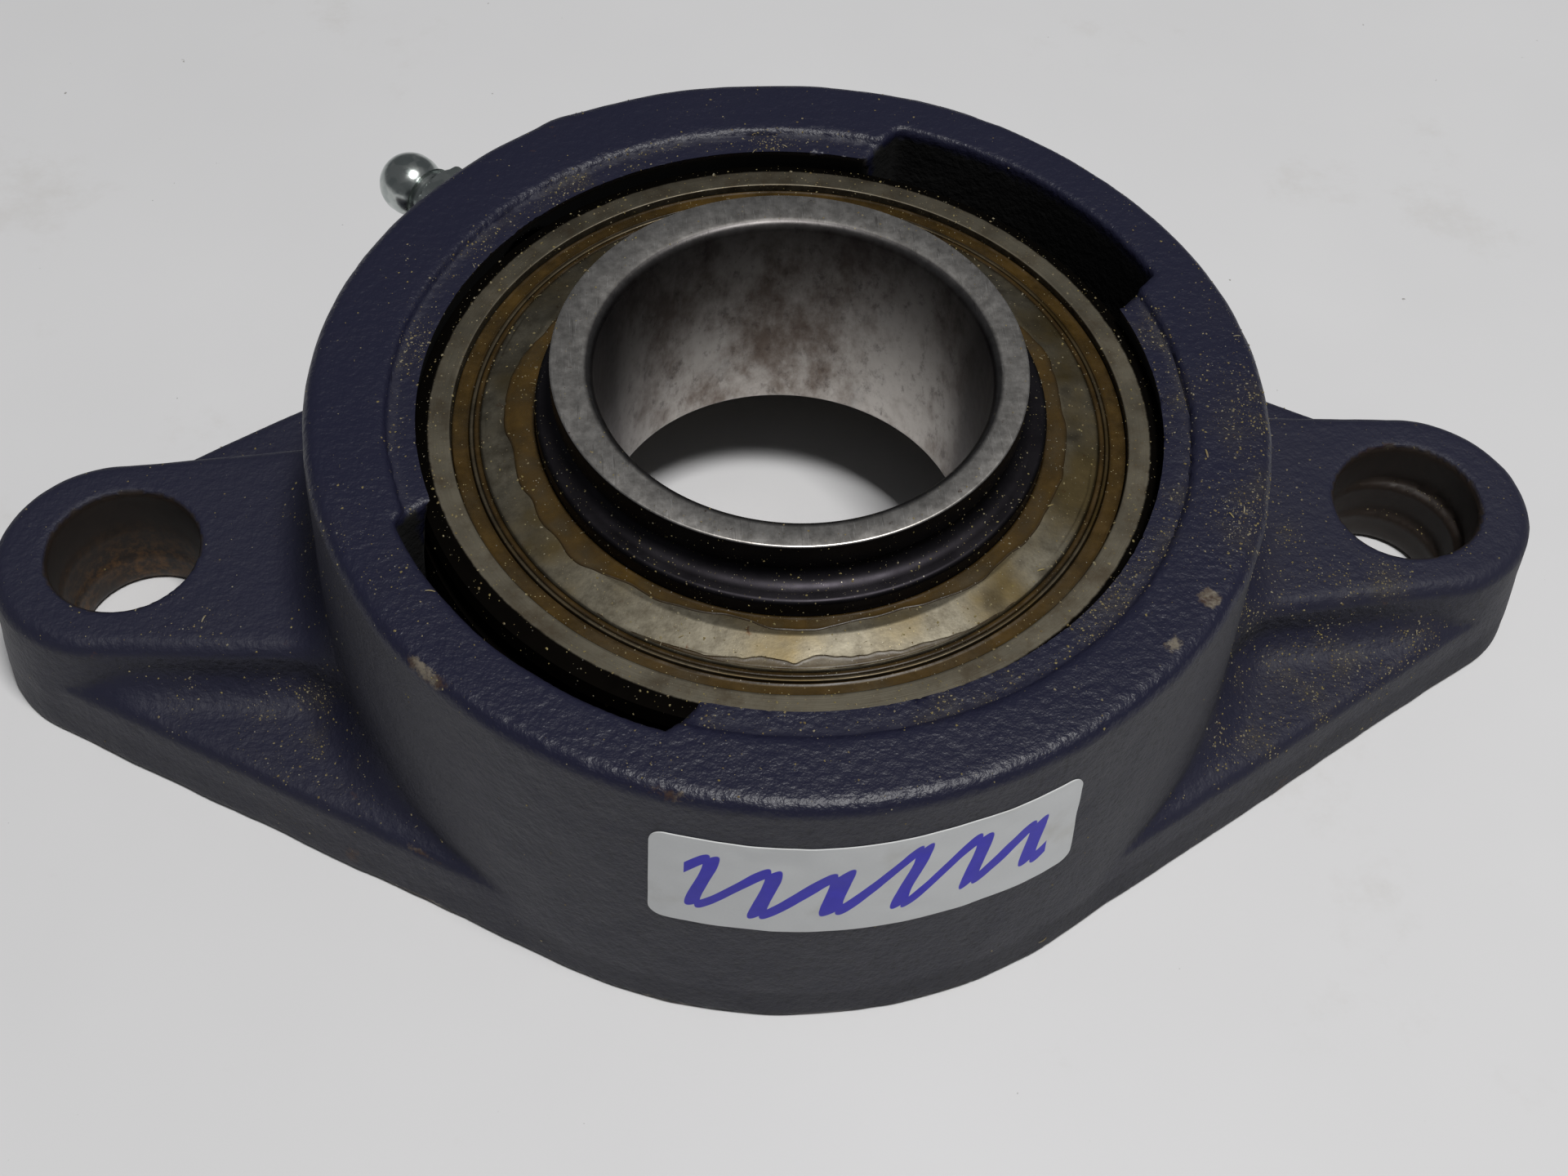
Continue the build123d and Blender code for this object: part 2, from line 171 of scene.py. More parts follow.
# %% The body: hub, flange and bolt pads
def iron_body(x, y, z):
    """The casting before anything is bored, cored or cut in it."""
    radius = np.hypot(x, y)
    angle = np.degrees(np.arctan2(y, x))
    unevenness = 0.12 * np.sin(np.radians(3 * angle + 20)) + 0.08 * np.sin(np.radians(7 * angle))
    unevenness += core_shift * (1 + np.sin(np.radians(angle))) + 0.35 * bump_at(angle, 118.0, 4.0)
    wall = radius - wall_radius(z) - unevenness * np.clip(z / rim_top, 0, 1)
    dish = 0.12 * np.sin(np.radians(2 * angle + 60))
    hub = rounded_meet(wall, z - rim_top - dish, rim_round)

    lean = z * math.tan(casting_draft)
    side = tapered_capsule(x, y, hub_foot_radius, ear_x, ear_radius) + lean
    flange = rounded_meet(side, z - flange_height, 1.2)
    past_ear = np.maximum(np.abs(x) - ear_x, 0)
    widening = pad_widening * np.maximum(ear_x - np.abs(x), 0)
    pad_side = np.hypot(past_ear, y) - ear_radius - widening + lean
    pads = rounded_meet(pad_side, z - ear_height, 1.5)
    # A hollow fades out where its two walls run together, or it would swell the casting there.
    body = hollow_join(flange, pads, 0.05 + 3.2 * fade_in(pad_side - side, 3.0))
    body = hollow_join(body, hub, 0.05 + 4.4 * fade_in(wall - side, 5.5))
    return rounded_meet(body, -z, 0.5)


# %% The holes: slots, seat, bolt holes and spot face
def bolt_hole(x, y, z, centre_x, lower_x, lower_y, narrowing):
    """A cored hole whose lower half was cast a little out of line, which leaves ledges in it."""
    upper = np.hypot(x - centre_x, y) - bolt_hole_radius
    middle = np.hypot(x - centre_x - lower_x / 2, y - lower_y / 2) - bolt_hole_radius + narrowing
    lower = np.hypot(x - centre_x - lower_x, y - lower_y) - bolt_hole_radius + narrowing
    upper = np.maximum(upper, upper_ledge - z)
    middle = np.maximum(middle, lower_ledge - z)
    return hollow_join(hollow_join(upper, middle, 0.5), lower, 0.6)


def iron_casting(x, y, z):
    """The finished casting."""
    radius = np.hypot(x, y)
    height = z - insert_centre
    body = iron_body(x, y, z)

    across = x * math.sin(slot_angle) - y * math.cos(slot_angle)
    from_core = np.hypot(x - slot_core_shift, y - slot_core_shift)
    slots = np.maximum(np.abs(across) - slot_half_width, from_core - slot_wall_radius)
    body = rounded_meet(body, -np.maximum(slots, slot_floor - z), 0.6)
    step = np.maximum(radius - ledge_radius, seat_half_width - height)
    body = rounded_meet(body, -step, 0.5)
    sphere = np.hypot(radius, height) - seat_radius
    seat = np.maximum(sphere, -seat_half_width - height)
    recess = np.maximum(radius - recess_radius - 1.2 * (1 - z / 11.7), height + seat_half_width)
    body = rounded_meet(body, -np.minimum(seat, recess), 0.3)

    left = bolt_hole(x, y, z, -bolt_x, 0.25, 0.15, 0.15)
    right = bolt_hole(x, y, z, bolt_x, -1.1, -0.6, 0.35)
    body = rounded_meet(body, -np.minimum(left, right), 0.7)

    outward = x * math.cos(nipple_angle) + y * math.sin(nipple_angle)
    sideways = y * math.cos(nipple_angle) - x * math.sin(nipple_angle)
    from_axis = np.hypot(sideways, z - nipple_height)
    spot_face = np.maximum(from_axis - spot_face_radius, nipple_seat - outward)
    thread_hole = np.maximum(from_axis - thread_radius, insert_radius / 2 - outward)
    return rounded_meet(body, -np.minimum(spot_face, thread_hole), 0.25)


# %% [markdown]
# ## From field to mesh
#
# The function is measured on a grid of points. Every grid cell that the surface passes through gets one
# vertex, and cells beside each other are joined by four-sided faces. This is the surface net, a cousin
# of marching cubes that gives evener faces. Each vertex then slides along the field's slope until it lies
# on the surface, which makes the bores truly round however coarse the grid is.

# %% Surface net
def cell_vertices(field, cells):
    """The mean place, in cells, of the points where the surface crosses each cell's twelve edges."""
    total = np.zeros(cells.shape)
    hits = np.zeros(len(cells))
    for axis in range(3):
        for first in (0, 1):
            for second in (0, 1):
                start = np.zeros(3, int)
                start[(axis + 1) % 3], start[(axis + 2) % 3] = first, second
                end = start.copy()
                end[axis] = 1
                here = field[tuple((cells + start).T)]
                there = field[tuple((cells + end).T)]
                crossed = (here < 0) != (there < 0)
                share = here[crossed] / (here[crossed] - there[crossed])
                total[crossed] += start + share[:, None] * (end - start)
                hits[crossed] += 1
    return cells + total / hits[:, None]


def surface_net(field, origin, step):
    """Vertices and four-sided faces of the surface where a gridded field passes through zero."""
    inside = field < 0
    size = np.array(field.shape) - 1
    count = np.zeros(size, np.int8)
    for offset in np.ndindex(2, 2, 2):
        window = tuple(slice(o, o + s) for o, s in zip(offset, size))
        count += inside[window]
    active = (count > 0) & (count < 8)
    cells = np.argwhere(active)
    number = np.full(active.shape, -1, np.int64)
    number[active] = np.arange(len(cells))
    vertices = origin + step * cell_vertices(field, cells)

    faces = []
    for axis in range(3):
        one, other = np.eye(3, dtype=int)[(axis + 1) % 3], np.eye(3, dtype=int)[(axis + 2) % 3]
        changed = np.argwhere(np.diff(inside.astype(np.int8), axis=axis) != 0)
        changed = changed[(changed @ one > 0) & (changed @ other > 0)]
        changed = changed[np.all(changed < size, axis=1)]
        loop = [changed - one - other, changed - other, changed, changed - one]
        quads = np.stack([number[tuple(c.T)] for c in loop], axis=1)
        outward = inside[tuple(changed.T)]
        quads[~outward] = quads[~outward][:, ::-1]
        faces.append(quads)
    return vertices, np.concatenate(faces)


def field_slope(field, points, reach=0.02):
    """The direction in which a field grows at each point."""
    slope = np.zeros_like(points)
    for axis in range(3):
        shift = np.zeros(3)
        shift[axis] = reach
        ahead, behind = points + shift, points - shift
        slope[:, axis] = (field(*ahead.T) - field(*behind.T)) / (2 * reach)
    return slope


def slide_to_surface(field, points, rounds=4):
    """Moves each point along the field's slope onto its zero surface."""
    points = points.copy()
    for _ in range(rounds):
        slope = field_slope(field, points)
        steepness = np.maximum((slope**2).sum(1), 0.2)
        points -= np.clip(field(*points.T), -0.3, 0.3)[:, None] * slope / steepness[:, None]
    return points


# %% Making and finishing meshes
def mesh_piece(name, vertices, faces):
    """A new object with its place in its mesh, from points in millimetres."""
    mesh = bpy.data.meshes.new(name)
    mesh.from_pydata((np.asarray(vertices) * MM).tolist(), [], np.asarray(faces).tolist())
    mesh.update()
    piece = bpy.data.objects.new(name, mesh)
    bpy.context.scene.collection.objects.link(piece)
    return piece


def points_of(piece):
    """A piece's vertices, in millimetres."""
    flat = np.zeros(len(piece.data.vertices) * 3)
    piece.data.vertices.foreach_get("co", flat)
    return flat.reshape(-1, 3) / MM


def set_points(piece, points):
    piece.data.vertices.foreach_set("co", (points * MM).ravel())
    piece.data.update()


def set_mask(piece, name, values):
    """Stores one number for each vertex, which materials and scattered pieces can read."""
    attribute = piece.data.attributes.new(name, "FLOAT", "POINT")
    attribute.data.foreach_set("value", np.asarray(values, np.float32))


def bake_modifiers(piece):
    """Turns the evaluated piece into a plain mesh."""
    shown = piece.evaluated_get(bpy.context.evaluated_depsgraph_get())
    mesh = bpy.data.meshes.new_from_object(shown)
    piece.modifiers.clear()
    piece.data = mesh
    return piece


def smooth(piece, sharp_degrees=35.0):
    piece.data.shade_smooth()
    piece.data.set_sharp_from_angle(angle=math.radians(sharp_degrees))
    return piece


def triangle_count(piece):
    return sum(len(face.vertices) - 2 for face in piece.data.polygons)


# %% The casting's mesh
grid_step = 0.55
margin = 1.5
grid_low = housing_low - margin
grid_axes = [
    np.arange(low, high + margin, grid_step, np.float32) for low, high in zip(grid_low, housing_high)
]
grid = np.meshgrid(*grid_axes, indexing="ij", sparse=True)
field = iron_casting(*grid)
net_vertices, net_faces = surface_net(field, grid_low, grid_step)
housing = mesh_piece("housing_casting", slide_to_surface(iron_casting, net_vertices, 3), net_faces)
print("surface net:", len(net_vertices), "vertices")

thin_out = housing.modifiers.new("thin out", "DECIMATE")
thin_out.ratio = min(1.0, 190000 / triangle_count(housing))
bake_modifiers(housing)
set_points(housing, slide_to_surface(iron_casting, points_of(housing), 3))
print("casting:", triangle_count(housing), "triangles")

# %% [markdown]
# ## The skin of the casting
#
# Iron that froze against sand has a soft, lumpy skin, and thick paint evens it out into the texture of
# orange peel. The larger lumps are moved in the mesh, so that they also break up the outline, and the
# finest ones are left to the material. Bored and cored holes, and the mounting face, stay true.

# %% Smooth noise and the cast relief
noise_cells = 64


def lumps(points, size, seed):
    """Smooth random values from about -1 to 1; size is how far apart the lumps are, in millimetres."""
    table = np.random.default_rng(seed).uniform(-1, 1, (noise_cells,) * 3)
    whole = np.floor(points / size).astype(int)
    part = points / size - whole
    part = part * part * (3 - 2 * part)
    total = np.zeros(len(points))
    for offset in np.ndindex(2, 2, 2):
        index = (whole + offset) % noise_cells
        share = np.where(np.array(offset) == 1, part, 1 - part).prod(1)
        total += table[tuple(index.T)] * share
    return total


def cast_relief(points):
    """How far the painted skin stands out from the true shape, in millimetres."""
    return 0.11 * lumps(points, 9.0, 1) + 0.06 * lumps(points, 3.6, 2) + 0.045 * lumps(points, 1.7, 3)


# %% Masks on the casting
points = points_of(housing)
x, y, z = points.T
radius = np.hypot(x, y)
angle = np.degrees(np.arctan2(y, x))
slope = field_slope(iron_casting, points)
normal = slope / np.linalg.norm(slope, axis=1)[:, None]
true_body = iron_body(x, y, z)
cut = true_body < -0.12  # below the body's own skin, so in a hole

in_bolt_hole = cut & (radius > 50)
in_seat = cut & (radius < 40) & (np.abs(z - insert_centre) < seat_half_width + 0.1)
seat_opening = math.sqrt(seat_radius**2 - seat_half_width**2)
from_seat_edge = np.hypot(radius - seat_opening, z - insert_centre - seat_half_width)
seat_skin = (
    in_seat & (np.abs(np.hypot(radius, z - insert_centre) - seat_radius) < 0.12) & (from_seat_edge > 0.64)
)
across = x * math.sin(slot_angle) - y * math.cos(slot_angle)
in_slot = cut & (np.abs(across) < slot_half_width + 0.1) & (radius > 36)
in_slot &= (z < rim_top - 0.9) & (z > slot_floor - 0.3)
in_recess = cut & (z < insert_centre - seat_half_width)
on_spot_face = cut & (radius > 43.5) & (radius < 50)
underside = z < 0.2
bare = (in_bolt_hole | seat_skin | in_recess | on_spot_face | underside).astype(float)

# How much the surface turns away around a vertex: more than 0 on an edge, less than 0 in a hollow.
aside = np.cross(normal, [0.3, 0.5, 0.81])
aside /= np.linalg.norm(aside, axis=1)[:, None]
upward = np.cross(normal, aside)
bend_reach = 1.3
bend = sum(iron_casting(*(points + bend_reach * way).T) for way in (aside, -aside, upward, -upward))
bend = bend / 4 / bend_reach
edge = np.clip(bend * 3.2, 0, 1)
hollow = np.clip(-bend * 4.0, 0, 1)
print("edges", round(edge.mean(), 3), "hollows", round(hollow.mean(), 3))

# %% Where dust settles, paint is rubbed off, soot stays and shade is painted in
up = np.clip(normal[:, 2], 0, 1)
on_ledge = (radius < ledge_radius + 0.3) & (z > rim_top - 1.2) & ~seat_skin
# Painted light: walls that face right take more of the grey below, and walls that face left less.
painted_light_right = np.clip(normal[:, 0] * 1.6, -1, 1)
side_wall = np.clip(1 - np.abs(normal[:, 2]) * 2.2, 0, 1) * (~cut) * (0.75 + 0.25 * painted_light_right)
right_valley = (
    np.exp(-(((x - 50) / 12) ** 2 + ((y + 16) / 9) ** 2)) + np.exp(-(((x - 47) / 6) ** 2 + (y / 12) ** 2))
)
left_valley = np.exp(-(((x + 46) / 9) ** 2 + ((y + 22) / 9) ** 2))
dusty = up * (0.07 + 0.9 * hollow + 0.7 * on_ledge + 1.5 * right_valley + 0.6 * left_valley)
clumps = lumps(points, 5.0, 4) * 0.8 + lumps(points, 1.9, 7) * 0.6 + 0.15
dusty = dusty * (0.15 + 1.6 * np.clip(clumps, 0, 1) ** 1.5)
front_streak = (
    0.75 * bump_at(angle, 252.0, 7.0) + 0.5 * bump_at(angle, 284.0, 9.0) + 0.9 * bump_at(angle, 222.0, 9.0)
)
right_patch = (
    bump_at(angle, 323.4, 3.4) + 0.95 * bump_at(angle, 315.0, 3.0) + 0.6 * bump_at(angle, 166.0, 6.0)
)
right_patch = right_patch * np.exp(-(((radius - 42.4) / 1.6) ** 2)) * (0.95 + 0.5 * lumps(points, 1.6, 9))
rubbed = edge * (0.30 + 1.0 * np.clip(front_streak, 0, 1.2)) * (radius > 41.5)
rubbed = np.maximum(rubbed, 0.95 * right_patch * up * (z > rim_top - 1.5))
# Painted shade: the slots and the seat behind the outer ring are made near black along with their soot, and
# the foot of the walls a little darker.
soot_and_shade = np.clip(in_slot * 1.0 + seat_skin * 1.0 + (z < 4) * side_wall * 0.25, 0, 1)
low_flank = np.clip(1.3 - z / 5.5, 0, 1) * np.clip((np.abs(x) - 14) / 20, 0, 1)
scuffed = side_wall * low_flank * np.clip(lumps(points, 5.0, 6) + 0.55, 0, 1)
rusting = in_bolt_hole * (points[:, 0] < 0) * np.clip((10.0 - z) / 7.0, 0, 1)
rusting = rusting * np.clip(0.75 + lumps(points, 5.0, 8), 0, 1)

for mask_name, values in {
    "bare": bare,
    "in_hole": in_bolt_hole,
    "dusty": np.clip(dusty, 0, 1),
    "rubbed": np.clip(rubbed, 0, 1),
    "soot_and_shade": soot_and_shade,
    "wall": side_wall,
    "scuffed": scuffed,
    "rusting": rusting,
    "hollow": hollow,
    "flange": np.clip((radius - 44.5) / 2, 0, 1) * (~cut) * np.clip(normal[:, 2] * 2, 0, 1),
}.items():
    set_mask(housing, mask_name, values)

skin = np.clip(1 - bare - in_slot * 0.3, 0, 1) * (1 - 0.55 * np.clip(normal[:, 2] * 2 - 0.8, 0, 1))
skin = skin * np.clip(from_seat_edge / 1.5, 0, 1)
outward = np.stack([x / radius, y / radius], 1) * seat_opening
seat_edge = np.column_stack([outward, np.full_like(z, insert_centre + seat_half_width)])
trued = points + (seat_edge - points) * np.clip((0.62 - from_seat_edge) / 0.24, 0, 1)[:, None]
set_points(housing, trued + normal * (cast_relief(points) * skin)[:, None])
smooth(housing, 60.0)
print("masks and relief are on the casting")

# %% [markdown]
# ## Turned and ground rings
#
# Everything in the insert is round, so each part is an outline of its half section, spun about the shaft.
# Spinning it in code gives full control of where the vertices lie: small roundings get four faces each,
# and 360 steps round the axis keep the highlights on the ground faces unbroken.

# %% Outlines and the lathe
turns = 360


def rounded_outline(*corner_list, steps=4):
    """A closed outline from corners (radius, height, rounding)."""
    outline = []
    for index, (r, h, rounding) in enumerate(corner_list):
        here = np.array([r, h])
        if not rounding:
            outline.append(here)
            continue
        to_last = np.array(corner_list[index - 1][:2]) - here
        to_next = np.array(corner_list[(index + 1) % len(corner_list)][:2]) - here
        to_last /= np.linalg.norm(to_last)
        to_next /= np.linalg.norm(to_next)
        half = math.acos(np.clip(to_last @ to_next, -1, 1)) / 2
        middle = to_last + to_next
        centre = here + middle / np.linalg.norm(middle) * rounding / math.sin(half)
        start = here + to_last * rounding / math.tan(half) - centre
        end = here + to_next * rounding / math.tan(half) - centre
        start_angle, end_angle = math.atan2(start[1], start[0]), math.atan2(end[1], end[0])
        swing = (end_angle - start_angle + math.pi) % (2 * math.pi) - math.pi
        for step in range(steps + 1):
            at = start_angle + swing * step / steps
            outline.append(centre + rounding * np.array([math.cos(at), math.sin(at)]))
    return outline


def arc_points(centre, radius, start, end, steps):
    """Corners along an arc, given in degrees, for use in an outline."""
    angles = np.radians(np.linspace(start, end, steps + 1))
    return [(centre[0] + radius * math.cos(a), centre[1] + radius * math.sin(a), 0) for a in angles]


def spun_grid(count, around):
    """Faces of a closed outline of count points, spun a full turn."""
    i, j = np.meshgrid(np.arange(around), np.arange(count), indexing="ij")
    i, j = i.ravel(), j.ravel()
    i_next, j_next = (i + 1) % around, (j + 1) % count
    return np.stack([i * count + j, i_next * count + j, i_next * count + j_next, i * count + j_next], axis=1)


def lathe(name, outline, mirrored=False, lean=None, around=turns):
    """Spins an outline, whose heights are from the insert's centre plane, about the shaft.

    lean gives each outline point a sideways shift (x, y), for the eccentric cam.
    """
    outline = np.array(outline)
    lean = np.zeros((len(outline), 2)) if lean is None else np.array(lean)
    if mirrored:
        outline = outline * [1, -1]
    after = np.roll(outline, -1, axis=0)
    if (outline[:, 0] * after[:, 1] - after[:, 0] * outline[:, 1]).sum() < 0:
        outline, lean = outline[::-1], lean[::-1]
    at = np.arange(around)[:, None] * 2 * math.pi / around
    across = outline[:, 0] * np.cos(at) + lean[:, 0]
    deep = outline[:, 0] * np.sin(at) + lean[:, 1]
    tall = np.broadcast_to(outline[:, 1] + insert_centre, across.shape)
    vertices = np.stack([across, deep, tall], axis=-1).reshape(-1, 3)
    piece = smooth(mesh_piece(name, vertices, spun_grid(len(outline), around)))
    print(f"{name}: {len(outline)} points in its outline, {triangle_count(piece)} triangles")
    return piece


# %% [markdown]
# The outer ring is a slice of a sphere, so that the insert can tilt in its seat and line itself up with
# the shaft. Its face is ground, with a small rounding outside, and its mouth takes the seal.

# %% Outer ring
ball_radius = 5.556
outer_race_radius = insert_radius - 3.688
race_radius = ball_radius * 1.03
seal_seat = face - 1.6
face_radius = math.sqrt(insert_radius**2 - face**2) - 1.1
mouth_radius = face_radius - 2.23
shell_groove_radius = mouth_radius + 0.55
outer_land = outer_race_radius - 2.6
race_centre = outer_race_radius - race_radius
race_swing = math.degrees(math.acos((outer_land - race_centre) / race_radius))
sphere_swing = math.degrees(math.asin((face - 0.5) / insert_radius))
lube_low, lube_high = (math.degrees(math.asin(h / insert_radius)) for h in (4.3, 6.5))
lube_floor = insert_radius - 0.9


def mouth_side(sign):
    """From the ring's face down into the seal's groove, for the front (1) or the back (-1)."""
    side = [
        (face_radius, sign * face, 0.35),
        (face_radius - 0.5, sign * face, 0),
        (mouth_radius + 0.3, sign * face, 0),
        (mouth_radius, sign * face, 0.12),
        (mouth_radius, sign * (seal_seat + 0.45), 0),
        (shell_groove_radius, sign * (seal_seat + 0.45), 0),
        (shell_groove_radius, sign * seal_seat, 0),
        (outer_land, sign * seal_seat, 0.1),
    ]
    return side if sign > 0 else side[::-1]


ball_track = arc_points((race_centre, 0), race_radius, race_swing, -race_swing, 24)
sphere_low = arc_points((0, 0), insert_radius, -sphere_swing, lube_low, 16)
sphere_high = arc_points((0, 0), insert_radius, lube_high, sphere_swing, 12)
lube_groove = [
    (lube_floor * math.cos(math.radians(lube_low)), lube_floor * math.sin(math.radians(lube_low)), 0.1),
    (lube_floor * math.cos(math.radians(lube_high)), lube_floor * math.sin(math.radians(lube_high)), 0.1),
]
outer_outline = rounded_outline(
    *mouth_side(1), *ball_track, *mouth_side(-1), *sphere_low, *lube_groove, *sphere_high
)
outer_ring = lathe("outer_ring_ground", outer_outline)

# %% [markdown]
# The inner ring is wide. At the front it has a hollow neck and then the cam, a collar turned slightly
# off centre: a locking collar with a matching recess is turned against it and wedges the ring on the
# shaft. The cam's points are shifted sideways as the outline is spun, and all others stay on centre.

# %% Inner ring with its eccentric cam
bore_radius = 18.26
cam_radius = 21.9
neck_radius = 21.0
shoulder_end = face + 2.2
neck_flare = 1.7
cam_base = cam_end - 2.8
cam_high_side = math.radians(121.0)
cam_shift = np.array([math.cos(cam_high_side), math.sin(cam_high_side)]) * 0.59
inner_race_bottom = bore_radius + 2.92
inner_race_centre = inner_race_bottom + race_radius
inner_swing = math.degrees(math.acos((inner_race_centre - land_radius) / race_radius))
flare_centre = (neck_radius + neck_flare, shoulder_end + neck_flare)

inner_outline = rounded_outline(
    (bore_radius, back_end, 0.9),
    (land_radius, back_end, 0.9),
    *arc_points((inner_race_centre, 0), race_radius, 180 + inner_swing, 180 - inner_swing, 24),
    (land_radius, shoulder_end, 0.45),
    *arc_points(flare_centre, neck_flare, 270, 180, 10),
    (neck_radius, cam_base, 0.25),
    (cam_radius, cam_base, 0.2),
    (cam_radius, cam_end, 0.22),
    (bore_radius, cam_end, 1.0),
)
inner_outline = np.array(inner_outline)
on_cam = (inner_outline[:, 0] > neck_radius + 0.3) & (inner_outline[:, 1] > cam_base - 0.05)
inner_ring = lathe("inner_ring_ground", inner_outline, lean=on_cam[:, None] * cam_shift)

# %% Masks on the inner ring
points = points_of(inner_ring)
radius = np.hypot(points[:, 0], points[:, 1])
height = points[:, 2] - insert_centre
in_bore = (radius < bore_radius + 0.12).astype(float)
from_cam = np.hypot(points[:, 0] - cam_shift[0], points[:, 1] - cam_shift[1])
cam_side_painted_shade = (height > cam_base) & (height < cam_end - 0.12) & (from_cam > cam_radius - 0.2)
bore_corner_dark_reflection = (height > cam_end - 1.02) & (height < cam_end - 0.02) & (radius < bore_radius + 0.98)
on_neck = ((height > 0) & (height < cam_base + 0.25) & (radius > neck_radius - 0.3)).astype(float)
angle = np.degrees(np.arctan2(points[:, 1], points[:, 0]))
# Painted shade: the bore is made darker at its left and right sides.
painted_side_shade = 1.0 * bump_at(angle, 168.0, 42.0) + 1.3 * bump_at(angle, 0.0, 25.0)
set_mask(inner_ring, "in_bore", in_bore)
set_mask(inner_ring, "shaded", np.clip(painted_side_shade * (1 + 0.5 * lumps(points, 6.0, 51)), 0, 0.9))
# The cam's side takes the neck's black as painted shade, and the bore's top corner takes most of it as a
# painted dark reflection.
set_mask(inner_ring, "on_neck", np.clip(on_neck + cam_side_painted_shade + 0.85 * bore_corner_dark_reflection, 0, 1))
set_mask(inner_ring, "dusty", on_neck * (height > face) * 0.45 + (height > cam_end - 0.1) * 0.16)

# %% [markdown]
# ## Seals
#
# Each end is closed by three parts. A pressed steel shell snaps into the outer ring, and its lip is
# turned up. A rubber disc under it rubs on the inner ring. A steel washer, the flinger, turns with the
# inner ring and throws dirt out before it reaches the rubber. The flinger's flat bends down to a
# sloping skirt, and that bend catches the light, so it has a wide rounding of its own.

# %% Shells and flingers, front and rear
shell_lip = mouth_radius - 1.7
sheet_thickness = 0.4
flinger_thickness = 0.5
flinger_flat = land_radius + 2.0
flinger_rim = flinger_top - 0.75
shell_outline = rounded_outline(
    (shell_lip - sheet_thickness, seal_seat, 0.15),
    (shell_groove_radius - 0.05, seal_seat, 0.1),
    (shell_groove_radius - 0.05, seal_seat + sheet_thickness, 0.1),
    (shell_lip, seal_seat + sheet_thickness, 0.22),
    (shell_lip, seal_seat + 1.05, 0.12),
    (shell_lip - sheet_thickness, seal_seat + 1.05, 0.15),
)
skirt_run = flinger_radius - flinger_flat
skirt_points = [
    (flinger_flat + skirt_run * share, flinger_top - (flinger_top - flinger_rim) * share, 0)
    for share in np.linspace(0.9, 0.3, 20)
]
flat_points = [(land_radius + 2.0 * share, flinger_top, 0) for share in np.linspace(0.6, 0.2, 5)]
flinger_outline = rounded_outline(
    (land_radius + 0.01, flinger_top - 1.1, 0.1),
    (land_radius + flinger_thickness, flinger_top - 1.1, 0.1),
    (land_radius + flinger_thickness, flinger_top - flinger_thickness, 0.1),
    (flinger_flat, flinger_top - flinger_thickness, 1.5),
    (flinger_radius, flinger_rim - flinger_thickness, 0.12),
    (flinger_radius, flinger_rim, 0.3),
    *skirt_points,
    (flinger_flat, flinger_top, 1.2),
    *flat_points,
    (land_radius + 0.01, flinger_top, 0.15),
    steps=8,
)
shells = {end: lathe(f"seal_shell_{end}_pressed", shell_outline, end == "rear") for end in ("front", "rear")}
flingers = {
    end: lathe(f"flinger_{end}_pressed", flinger_outline, end == "rear", around=720)
    for end in ("front", "rear")
}

# %% Masks on the outer ring
points = points_of(outer_ring)
radius = np.hypot(points[:, 0], points[:, 1])
height = points[:, 2] - insert_centre
across = points[:, 0] * math.sin(slot_angle) - points[:, 1] * math.cos(slot_angle)
outside = (radius > outer_race_radius + 1.0) & (radius > face_radius - 0.12)
open_to_slot = outside & (np.abs(across) < slot_half_width - 0.5) & (points[:, 2] > slot_floor + 0.5)
in_mouth = (radius < mouth_radius + 0.1) & (np.abs(height) < face - 0.05)
# Painted shade: the ring's outside grows black the deeper it lies below the face, the seal's mouth is
# darkened, and a soft painted shadow of the slot reaches onto the face.
deep = np.clip((face - 1.0 - np.abs(height)) / 2.4, 0, 1)
ring_angle = np.degrees(np.arctan2(points[:, 1], points[:, 0]))
# The slot's painted shadow reaches this far onto the ring's face.
slot_shadow_reach = 1.3  # how far the black of the slot spreads onto the ring's face
slot_shadow = np.clip((radius - face_radius + slot_shadow_reach) / slot_shadow_reach, 0, 1)
slot_shadow = slot_shadow * (height > face - 0.15) * bump_at(ring_angle, 226.0, 26.0)
set_mask(
    outer_ring, "grime_and_shade", np.clip(outside * (0.75 + 0.25 * deep) + 0.45 * in_mouth + 0.40 * slot_shadow, 0, 1)
)
set_mask(
    outer_ring, "dusty", np.clip((height > face - 0.15) * 0.5 * (1 - slot_shadow) + open_to_slot * 0.12, 0, 1)
)

# %% [markdown]
# ## Old grease
#
# Grease that was pumped in has crept out along the shaft's shoulder and dried to an amber film, thicker
# at its edge. Painting it on as a colour would look flat, because a real film has a rim that shines. So
# it is a thin skin that lies on the flinger, with an outline that wanders, and it is see-through.

# %% The height of the front seal's surface
def flinger_height(radius):
    """The front flinger's upper surface at a radius, above the mounting face."""
    slope = (flinger_top - flinger_rim) / (flinger_radius - flinger_flat)
    drop = np.clip(radius - flinger_flat, 0, None) * slope
    return insert_centre + flinger_top - drop - 0.03 * np.exp(-(((radius - flinger_flat) / 0.6) ** 2))


def wander(angle_degrees, size, seed):
    """A wandering line round the shaft: smooth random values at each angle."""
    at = np.radians(angle_degrees)
    circle = np.stack([np.cos(at), np.sin(at), np.zeros(len(at))], axis=1) * 40.0
    return lumps(circle, size, seed) * 0.65 + lumps(circle, size / 2.6, seed + 1) * 0.35


